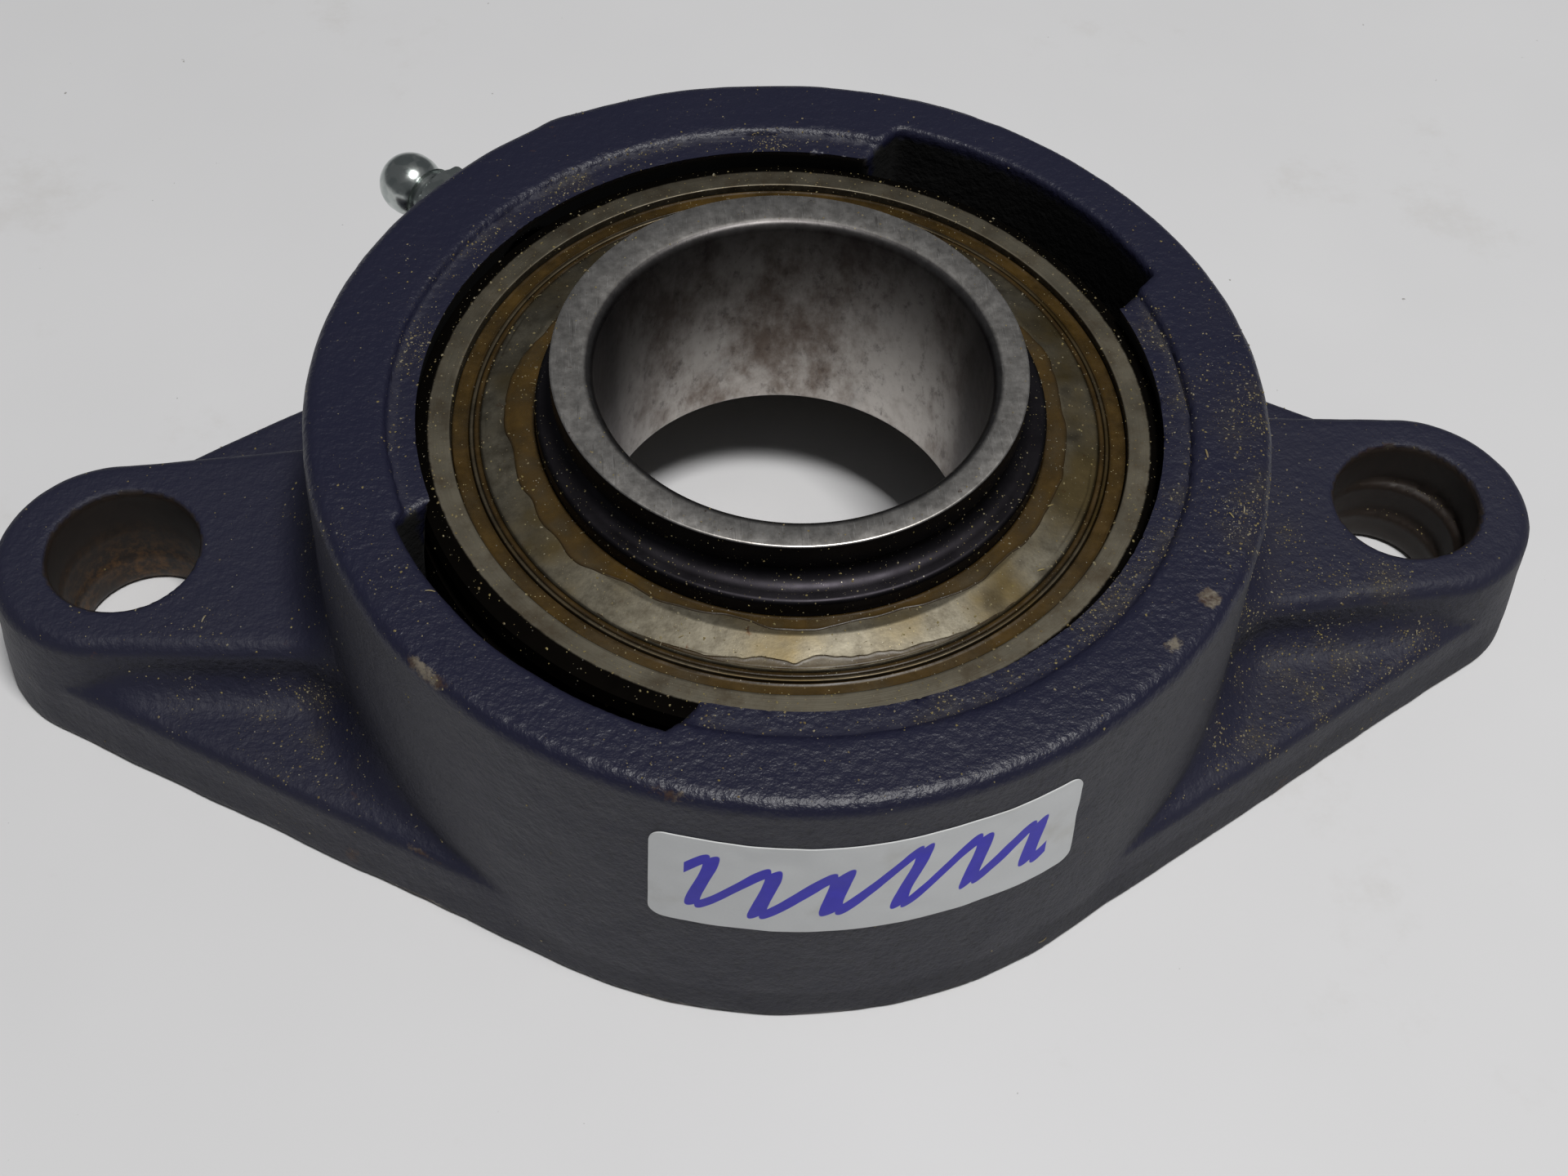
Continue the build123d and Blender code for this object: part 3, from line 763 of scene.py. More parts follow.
def film(name, inner_edge, outer_edge, base_height, thickness, bead, around=720, across=18):
    """A skin between two wandering radii, closed underneath, with a thicker bead along its edges."""
    degrees = np.arange(around) * 360.0 / around
    share = (1 - np.cos(np.linspace(0, math.pi, across))) / 2
    inner, outer = inner_edge(degrees)[:, None], outer_edge(degrees)[:, None]
    width = np.maximum(outer - inner, 0.02)
    radius = inner + width * share
    from_edge = np.minimum(share * width, (1 - share) * width)
    depth = thickness * np.sqrt(np.clip(from_edge / 0.12, 0, 1))
    depth += bead * np.exp(-(((from_edge - 0.16) / 0.12) ** 2)) * (share > 0) * (share < 1)
    at = np.radians(degrees)[:, None]
    base = base_height(radius)
    layers = []
    for height in (base + depth, base - 0.04):
        layers.append(np.stack([radius * np.cos(at), radius * np.sin(at), height], axis=-1))
    skin = np.concatenate([layers[0][:, ::-1], layers[1]], axis=1)
    faces = spun_grid(skin.shape[1], around)
    piece = smooth(mesh_piece(name, skin.reshape(-1, 3), faces), 80.0)
    rim = np.concatenate([from_edge[:, ::-1], from_edge], axis=1).ravel()
    set_mask(piece, "rim", np.exp(-((rim / 0.22) ** 2)))
    print(f"{name}: {triangle_count(piece)} triangles")
    return piece


# %% Grease on the flinger, in the gap round it and in the seal's channel
def shoulder_edge(degrees):
    """Wide at the left, where the grease ran out in tongues, and thin at the front."""
    reach = 1.25 + 1.3 * wander(degrees, 15.0, 11) + 0.35 * wander(degrees, 5.5, 13)
    reach += 1.9 * bump_at(degrees, 178.0, 34.0) + 1.1 * bump_at(degrees, 218.0, 15.0)
    reach += 1.0 * bump_at(degrees, 2.0, 26.0) + 0.8 * bump_at(degrees, 320.0, 14.0)
    reach -= 0.45 * bump_at(degrees, 280.0, 22.0)
    return land_radius + np.clip(reach, 0.3, flinger_radius - land_radius - 0.7)


def margin_edge(degrees):
    reach = 0.55 + 0.8 * wander(degrees, 8.0, 21) + 0.3 * wander(degrees, 2.6, 23)
    reach = reach * (0.1 + 1.3 * bump_at(degrees, 268.0, 34.0))
    return flinger_radius - 0.08 - np.clip(reach, 0.05, 1.7)


def level(height):
    return lambda radius: np.full_like(radius, insert_centre + height)


def margin_height(radius):
    """The flinger's surface, rounded down at its rim."""
    into_round = np.clip(radius - (flinger_radius - 0.34), 0, 0.3)
    return flinger_height(radius) - 0.3 + np.sqrt(0.09 - into_round**2)


shoulder_grease = film(
    "grease_shoulder",
    lambda d: np.full(len(d), land_radius + 0.02),
    shoulder_edge,
    flinger_height,
    0.05,
    0.04,
)
margin_grease = film(
    "grease_margin",
    margin_edge,
    lambda d: np.full(len(d), flinger_radius - 0.06),
    margin_height,
    0.04,
    0.03,
)
gap_grease = film(
    "grease_gap",
    lambda d: np.full(len(d), flinger_radius + 0.02),
    lambda d: np.full(len(d), shell_lip - sheet_thickness - 0.02),
    level(flinger_rim - 0.22),
    0.10,
    0.02,
    across=8,
)
channel_grease = film(
    "grease_channel",
    lambda d: np.full(len(d), shell_lip + 0.02),
    lambda d: np.full(len(d), mouth_radius - 0.02),
    level(seal_seat + sheet_thickness),
    0.42,
    0.10,
)

# %% Masks on the flingers
for piece in flingers.values():
    points = points_of(piece)
    radius = np.hypot(points[:, 0], points[:, 1])
    angle = np.degrees(np.arctan2(points[:, 1], points[:, 0]))
    shown = (np.abs(points[:, 2] - insert_centre) > flinger_rim - 0.05).astype(float)
    # Darker along a wavering line just inside the rim, towards the rim and the shoulder, and in random
    # blotches.
    crease_at = flinger_radius - 0.62 + 0.10 * wander(angle, 5.0, 41)
    crease = (
        np.exp(-(((radius - crease_at) / 0.09) ** 2)) * np.clip(0.10 + 1.3 * wander(angle, 8.0, 43), 0, 1)
    )
    at_rim = np.clip((radius - flinger_radius + 0.5) / 0.4, 0, 1)
    at_shoulder = np.clip((land_radius + 1.0 - radius) / 0.9, 0, 1)
    blotches = np.clip(lumps(points, 3.2, 45) * 1.3 + lumps(points, 1.1, 46) * 0.7 - 0.55, 0, 1)
    set_mask(
        piece, "darkened", np.clip(crease + 0.4 * at_rim + 0.6 * at_shoulder + 0.7 * blotches, 0, 1) * shown
    )
    set_mask(piece, "dusty", shown * (0.35 + 0.5 * at_rim + 0.4 * at_shoulder))

# %% [markdown]
# ## Grease nipple
#
# A zinc plated fitting screwed into a spot-faced flat on the rim: a small hexagon, a waisted neck and a
# ball head that a grease gun's coupler grips. The hexagon is spun like the rest, but its radius depends
# on the angle, and a cone cuts its corners, which gives the curved chamfers that a real hexagon has.

# %% Nipple
hex_half = 7.94 / 2
hex_height = 3.2
head_centre = 7.6


def hexagon_radius(angle):
    return hex_half / np.cos((angle + math.pi / 6) % (math.pi / 3) - math.pi / 6)


nipple_outline = [
    (1.2, -7.0, 0),
    (3.05, -7.0, 0.3),
    (3.05, -0.02, 0),
    (4.75, -0.02, 0),
    (4.75, hex_height - 0.75, 0),
    (4.45, hex_height - 0.42, 0),
    (3.95, hex_height, 0.15),
    (2.95, hex_height, 0.3),
    (2.35, hex_height + 0.7, 0.5),
    (2.3, head_centre - 2.1, 0.5),
    *arc_points((0, head_centre), 3.25, -42, -7, 6),
    *arc_points((0, head_centre + 0.1), 3.25, 7, 48, 8),
    (1.8, head_centre + 2.5, 0.2),
    (0.75, head_centre + 2.5, 0.12),
    (0.75, head_centre + 1.4, 0),
    (1.2, head_centre + 0.9, 0),
]
section = np.array(rounded_outline(*nipple_outline))
around = 144
at = (np.arange(around) * 2 * math.pi / around)[:, None]
radius = np.broadcast_to(section[:, 0], (around, len(section)))
in_hexagon = (section[:, 1] > -0.05) & (section[:, 1] < hex_height + 0.01) & (section[:, 0] > 3.3)
radius = np.where(in_hexagon, np.minimum(radius, hexagon_radius(at)), radius)
out_way = np.array([math.cos(nipple_angle), math.sin(nipple_angle), 0.0])
side_way = np.cross(out_way, [0, 0, 1.0])
along = (nipple_seat + section[:, 1])[None, :, None] * out_way
spun = along + (radius * np.cos(at))[..., None] * np.array([0, 0, 1.0])
spun = spun + (radius * np.sin(at))[..., None] * side_way
spun[..., 2] += nipple_height
nipple = mesh_piece("nipple_plated", spun.reshape(-1, 3), spun_grid(len(section), around)[:, ::-1])
smooth(nipple, 25.0)
print("nipple:", triangle_count(nipple), "triangles")

# %% [markdown]
# ## Paper label
#
# A stock label with rounded corners, wrapped round the front wall. It is a grid of rows: each row near
# the top or bottom is shorter, by as much as the corner's circle takes away. Every point then goes onto
# the drafted wall and follows its lumps, as glued paper does.

# %% Label
label_length = 38.1
label_width = 12.7
label_corner = 1.4
label_middle = 21.5
label_angle = math.radians(-85.5)
label_thickness = 0.12
columns, rows = 120, 44
row_share = np.sin(np.linspace(-math.pi / 2, math.pi / 2, rows))
row_height = row_share * label_width / 2
into_corner = np.clip(np.abs(row_height) - (label_width / 2 - label_corner), 0, label_corner)
half_length = label_length / 2 - label_corner + np.sqrt(label_corner**2 - into_corner**2)
along = half_length[:, None] * np.linspace(-1, 1, columns)
up_wall = np.broadcast_to(row_height[:, None], along.shape)
wall_at = wall_radius(label_middle + up_wall)
turn = label_angle + along / wall_radius(label_middle)
on_wall = (
    np.stack([wall_at * np.cos(turn), wall_at * np.sin(turn), label_middle + up_wall], axis=-1).reshape(-1, 3)
)
out_from_wall = field_slope(iron_casting, on_wall)
glued = slide_to_surface(iron_casting, on_wall) + out_from_wall * (cast_relief(on_wall) + 0.03)[:, None]
sheets = np.concatenate([glued, glued + out_from_wall * label_thickness])

cell_row, cell_column = np.meshgrid(np.arange(rows - 1), np.arange(columns - 1), indexing="ij")
start = (cell_row * columns + cell_column).ravel()
back_sheet = np.stack([start, start + columns, start + columns + 1, start + 1], axis=1)
front_sheet = back_sheet[:, ::-1] + rows * columns
border = np.concatenate([
    np.arange(columns),
    np.arange(1, rows) * columns + columns - 1,
    (rows - 1) * columns + np.arange(columns - 2, -1, -1),
    np.arange(rows - 2, 0, -1) * columns,
])
after = np.roll(border, -1)
sides = np.stack([border, after, after + rows * columns, border + rows * columns], axis=1)
label = mesh_piece("label_paper", sheets, np.concatenate([back_sheet, front_sheet, sides]))
smooth(label, 50.0)

label_map = label.data.uv_layers.new(name="label")
flat_places = np.tile(np.stack([along.ravel(), up_wall.ravel()], axis=1), (2, 1))
corner_vertex = np.zeros(len(label.data.loops), int)
label.data.loops.foreach_get("vertex_index", corner_vertex)
label_map.data.foreach_set("uv", (flat_places[corner_vertex] / label_length).ravel())
print("label:", triangle_count(label), "triangles")

# %% [markdown]
# ## Building materials
#
# A material in Blender is a small network of nodes. Two short helpers keep it readable: one adds a node
# and links or sets its inputs, and the others are the few steps that every finish here is made of, such
# as noise of a given size in millimetres, or a soft threshold that turns noise into a mask.

# %% Node helpers
def node(tree, kind, inputs=None, **settings):
    """Adds a node; each input is given a value, or linked when the value is another node's output."""
    made = tree.nodes.new(kind)
    for key, value in settings.items():
        setattr(made, key, value)
    for key, value in (inputs or {}).items():
        if isinstance(value, bpy.types.NodeSocket):
            tree.links.new(value, made.inputs[key])
        else:
            made.inputs[key].default_value = value
    return made


def colour(red, green, blue):
    return (red, green, blue, 1.0)


def mixed(tree, share, first, second):
    inputs = {0: share, 6: first, 7: second}
    return node(tree, "ShaderNodeMix", inputs, data_type="RGBA").outputs[2]


def maths(tree, operation, first, second=0.0, clamp=False):
    made = node(tree, "ShaderNodeMath", {0: first, 1: second}, operation=operation, use_clamp=clamp)
    return made.outputs[0]


def threshold(tree, value, low, high):
    """0 below low, 1 above high, smooth between."""
    inputs = {"Value": value, "From Min": low, "From Max": high}
    return node(tree, "ShaderNodeMapRange", inputs, interpolation_type="SMOOTHSTEP").outputs[0]


def between(tree, value, low, high):
    """Stretches 0 to 1 onto low to high."""
    return node(tree, "ShaderNodeMapRange", {"Value": value, "To Min": low, "To Max": high}).outputs[0]


def noise(tree, vector, size, detail=3.0, roughness=0.55):
    """Noise whose lumps are about size millimetres apart."""
    inputs = {"Vector": vector, "Scale": 1 / (size * MM), "Detail": detail, "Roughness": roughness}
    return node(tree, "ShaderNodeTexNoise", inputs).outputs["Fac"]


def mask_of(tree, name):
    return node(tree, "ShaderNodeAttribute", attribute_name=name).outputs["Fac"]


def place_of(tree):
    return node(tree, "ShaderNodeTexCoord").outputs["Object"]


def new_group(name, inputs, outputs):
    """An empty node group with named sockets; returns its tree, its input node and its output node."""
    tree = bpy.data.node_groups.new(name, "ShaderNodeTree")
    for socket, kind, value in inputs:
        made = tree.interface.new_socket(socket, in_out="INPUT", socket_type=kind)
        if value is not None:
            made.default_value = value
    for socket, kind in outputs:
        tree.interface.new_socket(socket, in_out="OUTPUT", socket_type=kind)
    return tree, tree.nodes.new("NodeGroupInput").outputs, tree.nodes.new("NodeGroupOutput").inputs


def use_group(tree, group, **inputs):
    made = tree.nodes.new("ShaderNodeGroup")
    made.node_tree = group
    for key, value in inputs.items():
        socket = made.inputs[key.replace("_", " ")]
        if isinstance(value, bpy.types.NodeSocket):
            tree.links.new(value, socket)
        else:
            socket.default_value = value
    return made.outputs


def new_material(name, **constants):
    """A material with one Principled shader; constants are set on the shader's own sockets."""
    material = bpy.data.materials.new(name)
    material.use_nodes = True
    tree = material.node_tree
    shader = next(n for n in tree.nodes if n.type == "BSDF_PRINCIPLED")
    for key, value in constants.items():
        shader.inputs[key.replace("_", " ")].default_value = value
    return material, tree, shader.inputs


def bump(tree, height, distance, strength=1.0, under=None):
    """A normal from a height; distance is how deep the relief is, in millimetres."""
    inputs = {"Height": height, "Distance": distance * MM, "Strength": strength}
    if under is not None:
        inputs["Normal"] = under
    return node(tree, "ShaderNodeBump", inputs).outputs[0]


FLOAT, VECTOR, COLOUR = "NodeSocketFloat", "NodeSocketVector", "NodeSocketColor"

# %% [markdown]
# ## Effects that several finishes share
#
# Dust, rust spots, fine scratches and turning marks are on more than one part. Each is a node group with
# its sizes as inputs. A group gives out masks and heights only, and the material decides what to do
# with them.

# %% Dust: a thin haze with grains in it
dust_group, given, result = new_group(
    "workshop dust",
    [("Place", VECTOR, None), ("Amount", FLOAT, 0.5), ("Grain Size", FLOAT, 0.35)],
    [("Haze", FLOAT), ("Grains", FLOAT), ("Colour", COLOUR)],
)
patches = noise(dust_group, given["Place"], 5.0, 5.0, 0.6)
haze = maths(dust_group, "MULTIPLY", threshold(dust_group, patches, 0.3, 0.75), given["Amount"])
grain_scale = maths(dust_group, "DIVIDE", 1 / MM, given["Grain Size"])
cells = node(dust_group, "ShaderNodeTexVoronoi", {"Vector": given["Place"], "Scale": grain_scale})
picked = node(dust_group, "ShaderNodeSeparateColor", {0: cells.outputs["Color"]})
often = maths(dust_group, "MULTIPLY", given["Amount"], 0.42)
rare = maths(dust_group, "LESS_THAN", picked.outputs[0], often)
reach = maths(dust_group, "MULTIPLY", picked.outputs[1], 0.34)
size_left = maths(dust_group, "SUBTRACT", reach, cells.outputs["Distance"])
grain = maths(dust_group, "MULTIPLY", threshold(dust_group, size_left, 0.0, 0.10), rare)
tan_or_grey = mixed(dust_group, picked.outputs[2], colour(0.30, 0.25, 0.12), colour(0.22, 0.21, 0.19))
dust_group.links.new(haze, result["Haze"])
dust_group.links.new(grain, result["Grains"])
dust_group.links.new(tan_or_grey, result["Colour"])

# %% Rust and stain spots
rust_group, given, result = new_group(
    "rust spots",
    [("Place", VECTOR, None), ("Size", FLOAT, 3.0), ("Amount", FLOAT, 0.3)],
    [("Mask", FLOAT), ("Colour", COLOUR)],
)
spot_scale = maths(rust_group, "DIVIDE", 1 / MM, given["Size"])
inputs = {"Vector": given["Place"], "Scale": spot_scale, "Detail": 6.0, "Roughness": 0.68}
spots = node(rust_group, "ShaderNodeTexNoise", inputs).outputs["Fac"]
spot_from = between(rust_group, given["Amount"], 0.74, 0.40)
past_start = maths(rust_group, "SUBTRACT", spots, spot_from)
spot_mask = threshold(rust_group, past_start, 0.0, 0.09)
shade = threshold(rust_group, past_start, 0.0, 0.2)
rust_tone = mixed(rust_group, shade, colour(0.10, 0.045, 0.02), colour(0.035, 0.02, 0.013))
rust_group.links.new(spot_mask, result["Mask"])
rust_group.links.new(rust_tone, result["Colour"])

# %% Turning marks: fine rings round the shaft
turning_group, given, result = new_group(
    "turning marks",
    [("Place", VECTOR, None), ("Pitch", FLOAT, 0.12)],
    [("Height", FLOAT), ("Tone", FLOAT)],
)
xyz = node(turning_group, "ShaderNodeSeparateXYZ", {0: given["Place"]}).outputs
squares = maths(
    turning_group,
    "ADD",
    maths(turning_group, "POWER", xyz[0], 2.0),
    maths(turning_group, "POWER", xyz[1], 2.0),
)
from_shaft = maths(turning_group, "SQRT", squares)
round_shaft = maths(turning_group, "ARCTAN2", xyz[1], xyz[0])
inputs = {0: from_shaft, 1: maths(turning_group, "MULTIPLY", round_shaft, 0.0006), 2: xyz[2]}
unrolled = node(turning_group, "ShaderNodeCombineXYZ", inputs).outputs[0]
ring_scale = maths(turning_group, "DIVIDE", 1 / MM, given["Pitch"])
inputs = {"Vector": unrolled, "Scale": ring_scale, "Detail": 4.0, "Roughness": 0.6}
rings = node(turning_group, "ShaderNodeTexNoise", inputs).outputs["Fac"]
broad = noise(turning_group, unrolled, 1.3, 2.0)
turning_group.links.new(rings, result["Height"])
turning_group.links.new(
    maths(turning_group, "MULTIPLY", maths(turning_group, "ADD", rings, broad), 0.5), result["Tone"]
)

# %% Fine scratches in one direction
scratch_group, given, result = new_group(
    "fine scratches",
    [("Place", VECTOR, None), ("Size", FLOAT, 0.5), ("Turn", FLOAT, 0.0)],
    [("Height", FLOAT), ("Marks", FLOAT)],
)
tilt = node(scratch_group, "ShaderNodeCombineXYZ", {2: given["Turn"]}).outputs[0]
inputs = {"Vector": given["Place"], "Rotation": tilt, "Scale": (1.0, 0.07, 1.0)}
stretched = node(scratch_group, "ShaderNodeMapping", inputs).outputs[0]
scratch_scale = maths(scratch_group, "DIVIDE", 1 / MM, given["Size"])
inputs = {"Vector": stretched, "Scale": scratch_scale, "Detail": 5.0, "Roughness": 0.7}
streaks = node(scratch_group, "ShaderNodeTexNoise", inputs).outputs["Fac"]
scratch_group.links.new(streaks, result["Height"])
scratch_group.links.new(threshold(scratch_group, streaks, 0.58, 0.72), result["Marks"])
print("groups:", [group.name for group in bpy.data.node_groups])

# %% [markdown]
# ## Navy paint on cast iron
#
# The paint is nearly black with a blue cast, and satin. What makes it look real is what has happened to
# it: it is thin and greyer on the walls, dusty in the hollows, rubbed through to brown metal on the
# edges, and sooty in the slots, where it was never painted. Some of it is painted light and shade: the
# walls that face right take more of the grey, as if lit, and the slots and the seat are made near black
# as painted shade, with the foot of the walls a little darker. All of these are masks stored on the mesh,
# broken up with noise, and laid over each other in the order in which they happened.

# %% Painted housing: the paint itself and what lies on it
paint, tree, shader = new_material("navy_paint_on_iron", IOR=1.42)
place = place_of(tree)
wall = mask_of(tree, "wall")
shade = noise(tree, place, 22.0, 4.0)
navy = mixed(tree, shade, colour(0.0080, 0.0088, 0.0250), colour(0.0120, 0.0122, 0.0300))
faded = between(tree, noise(tree, place, 7.0, 5.0, 0.65), 0.35, 0.95)
# Partly painted light: the walls' grey is stronger on walls that face right.
tone = mixed(tree, maths(tree, "MULTIPLY", wall, faded), navy, colour(0.044, 0.044, 0.049))
sand = noise(tree, place, 0.60, 4.0, 0.7)
dark_sand = maths(tree, "MULTIPLY", threshold(tree, sand, 0.50, 0.36), maths(tree, "MULTIPLY", wall, 0.9))
tone = mixed(tree, dark_sand, tone, colour(0.006, 0.006, 0.010))

dust = use_group(tree, dust_group, Place=place, Amount=mask_of(tree, "dusty"), Grain_Size=0.30)
fine_dust = use_group(tree, dust_group, Place=place, Amount=mask_of(tree, "dusty"), Grain_Size=0.15)
tone = mixed(tree, maths(tree, "MULTIPLY", dust["Haze"], 0.42), tone, colour(0.050, 0.043, 0.028))

# %% Painted housing: bare iron, wear and soot
iron = use_group(tree, rust_group, Place=place, Size=6.0, Amount=0.5)
bare_tone = mixed(tree, iron["Mask"], colour(0.060, 0.050, 0.043), iron["Colour"])
hole_tone = mixed(
    tree, noise(tree, place, 1.1, 6.0, 0.75), colour(0.007, 0.005, 0.004), colour(0.030, 0.019, 0.013)
)
orange = maths(
    tree, "MULTIPLY", mask_of(tree, "rusting"), threshold(tree, noise(tree, place, 0.9, 6.0, 0.7), 0.38, 0.66)
)
hole_tone = mixed(tree, orange, hole_tone, colour(0.115, 0.055, 0.016))
bare_tone = mixed(tree, mask_of(tree, "in_hole"), bare_tone, hole_tone)
tone = mixed(tree, mask_of(tree, "bare"), tone, bare_tone)

wear_noise = maths(tree, "MULTIPLY", noise(tree, place, 1.1, 6.0, 0.75), 0.9)
wear = threshold(tree, maths(tree, "ADD", mask_of(tree, "rubbed"), wear_noise), 1.04, 1.22)
brown_or_tan = threshold(tree, noise(tree, place, 2.6, 5.0, 0.7), 0.42, 0.62)
wear_tone = mixed(tree, brown_or_tan, colour(0.050, 0.028, 0.018), colour(0.19, 0.165, 0.125))
tone = mixed(tree, maths(tree, "MULTIPLY", wear, 0.85), tone, wear_tone)
rust_amount = between(tree, mask_of(tree, "scuffed"), 0.16, 0.62)
rusty = use_group(tree, rust_group, Place=place, Size=5.0, Amount=rust_amount)
tone = mixed(tree, maths(tree, "MULTIPLY", rusty["Mask"], 0.6), tone, rusty["Colour"])
# Painted shade: near black in the slots and the seat, and a little darker at the foot of the walls.
tone = mixed(tree, mask_of(tree, "soot_and_shade"), tone, colour(0.003, 0.0028, 0.0028))
tone = mixed(tree, maths(tree, "MULTIPLY", fine_dust["Grains"], 0.6), tone, fine_dust["Colour"])
tone = mixed(tree, dust["Grains"], tone, dust["Colour"])
tree.links.new(tone, shader["Base Color"])

# %% Painted housing: gloss and the finest relief
gloss = between(tree, noise(tree, place, 3.0, 4.0), 0.34, 0.48)
gloss = maths(
    tree, "ADD", gloss, maths(tree, "MULTIPLY", maths(tree, "MAXIMUM", wall, mask_of(tree, "bare")), 0.18)
)
duller = maths(
    tree, "MAXIMUM", maths(tree, "MULTIPLY", mask_of(tree, "flange"), 0.55), mask_of(tree, "hollow")
)
gloss = maths(tree, "ADD", gloss, maths(tree, "MULTIPLY", duller, 0.36))
gloss = maths(tree, "ADD", gloss, maths(tree, "MULTIPLY", mask_of(tree, "soot_and_shade"), 0.45), clamp=True)
tree.links.new(gloss, shader["Roughness"])

peel = noise(tree, place, 0.9, 3.0, 0.6)
sandy = maths(tree, "MULTIPLY", sand, maths(tree, "ADD", maths(tree, "MULTIPLY", wall, 1.3), 0.15))
skin_height = maths(tree, "ADD", maths(tree, "MULTIPLY", peel, 0.9), sandy)
painted = maths(tree, "SUBTRACT", 1.0, mask_of(tree, "bare"))
relief = bump(tree, maths(tree, "MULTIPLY", skin_height, painted), 0.20, 1.0)
tree.links.new(bump(tree, dust["Grains"], 0.10, 0.8, relief), shader["Normal"])
housing.data.materials.append(paint)
print("painted the housing")

# %% [markdown]
# ## Steels
#
# The ground faces are bright and cool, with fine marks left by the wheel. The bore is duller, with brown
# stains that run along the shaft, and painted shade darkens its left and right sides. Round the neck the
# steel still has the black of its heat treatment and a coat of oily dirt; the same black is painted shade
# on the cam's side and a painted dark reflection in the bore's top corner. The pressed seals are plainer
# sheet, yellowed by the grease.

# %% Outer ring: warm grey, ground, with black dirt and painted shade outside
ring_steel, tree, shader = new_material("ring_steel", Metallic=1.0, Anisotropic=0.1)
tree.links.new(
    node(tree, "ShaderNodeTangent", direction_type="RADIAL", axis="Z").outputs[0], shader["Tangent"]
)
place = place_of(tree)
marks = use_group(tree, turning_group, Place=place, Pitch=0.10)
tone = mixed(tree, marks["Tone"], colour(0.105, 0.092, 0.068), colour(0.26, 0.235, 0.178))
dull = threshold(tree, noise(tree, place, 2.4, 7.0, 0.7), 0.38, 0.72)
tone = mixed(tree, maths(tree, "MULTIPLY", dull, 0.8), tone, colour(0.085, 0.065, 0.042))
spots = use_group(tree, rust_group, Place=place, Size=2.2, Amount=0.30)
tone = mixed(tree, maths(tree, "MULTIPLY", spots["Mask"], 0.8), tone, spots["Colour"])
patchy = maths(tree, "MULTIPLY", noise(tree, place, 1.2, 6.0, 0.7), 0.5)
# Black dirt with painted shade: the ring's outside, its mouth, and the slot's soft painted shadow on the
# face.
grime_and_shade = threshold(tree, maths(tree, "ADD", mask_of(tree, "grime_and_shade"), patchy), 0.45, 0.95)
tone = mixed(tree, grime_and_shade, tone, colour(0.006, 0.005, 0.004))
dust = use_group(tree, dust_group, Place=place, Amount=mask_of(tree, "dusty"), Grain_Size=0.22)
tone = mixed(tree, dust["Grains"], tone, dust["Colour"])
tree.links.new(tone, shader["Base Color"])
gloss = between(tree, noise(tree, place, 1.2, 5.0), 0.36, 0.54)
gloss = maths(tree, "ADD", gloss, maths(tree, "MULTIPLY", dust["Haze"], 0.3))
tree.links.new(
    maths(tree, "ADD", gloss, maths(tree, "MULTIPLY", grime_and_shade, 0.35), clamp=True), shader["Roughness"]
)
tree.links.new(bump(tree, marks["Height"], 0.012, 0.6), shader["Normal"])
outer_ring.data.materials.append(ring_steel)

# %% Inner ring: the cam's ground face
cam_steel, tree, shader = new_material("cam_steel", Metallic=1.0, Anisotropic=0.05)
tree.links.new(
    node(tree, "ShaderNodeTangent", direction_type="RADIAL", axis="Z").outputs[0], shader["Tangent"]
)
place = place_of(tree)
coarse = use_group(tree, scratch_group, Place=place, Size=0.50, Turn=0.5)
fine = use_group(tree, scratch_group, Place=place, Size=0.14, Turn=-0.25)
cross = use_group(tree, scratch_group, Place=place, Size=0.20, Turn=1.35)
worn = noise(tree, place, 1.8, 8.0, 0.75)
tone = mixed(tree, threshold(tree, worn, 0.22, 0.80), colour(0.31, 0.292, 0.272), colour(0.60, 0.575, 0.545))
tone = mixed(tree, maths(tree, "MULTIPLY", cross["Marks"], 0.7), tone, colour(0.72, 0.70, 0.67))
tone = mixed(tree, maths(tree, "MULTIPLY", coarse["Marks"], 0.6), tone, colour(0.085, 0.076, 0.070))
tone = mixed(tree, maths(tree, "MULTIPLY", fine["Marks"], 0.8), tone, colour(0.78, 0.76, 0.73))
spots = use_group(tree, rust_group, Place=place, Size=1.4, Amount=0.28)
tone = mixed(tree, maths(tree, "MULTIPLY", spots["Mask"], 0.75), tone, spots["Colour"])

# %% Inner ring: the stained bore and the black neck
along_shaft = node(tree, "ShaderNodeMapping", {"Vector": place, "Scale": (1.0, 1.0, 0.6)}).outputs[0]
stain = threshold(tree, noise(tree, along_shaft, 8.0, 7.0, 0.68), 0.40, 0.66)
bore_tone = mixed(tree, stain, colour(0.62, 0.585, 0.545), colour(0.20, 0.155, 0.125))
streaks = threshold(tree, noise(tree, along_shaft, 1.3, 6.0, 0.75), 0.50, 0.74)
bore_tone = mixed(tree, maths(tree, "MULTIPLY", streaks, 0.7), bore_tone, colour(0.060, 0.042, 0.036))
silvery = threshold(tree, noise(tree, along_shaft, 5.0, 5.0, 0.6), 0.58, 0.72)
bore_tone = mixed(tree, maths(tree, "MULTIPLY", silvery, 0.5), bore_tone, colour(0.55, 0.54, 0.52))
# Painted shade darkens the bore's left and right sides.
bore_tone = mixed(tree, mask_of(tree, "shaded"), bore_tone, colour(0.060, 0.050, 0.048))
tone = mixed(tree, mask_of(tree, "in_bore"), tone, bore_tone)
dust = use_group(tree, dust_group, Place=place, Amount=mask_of(tree, "dusty"), Grain_Size=0.2)
neck_tone = mixed(
    tree, noise(tree, place, 4.0, 4.0), colour(0.009, 0.008, 0.010), colour(0.036, 0.033, 0.038)
)
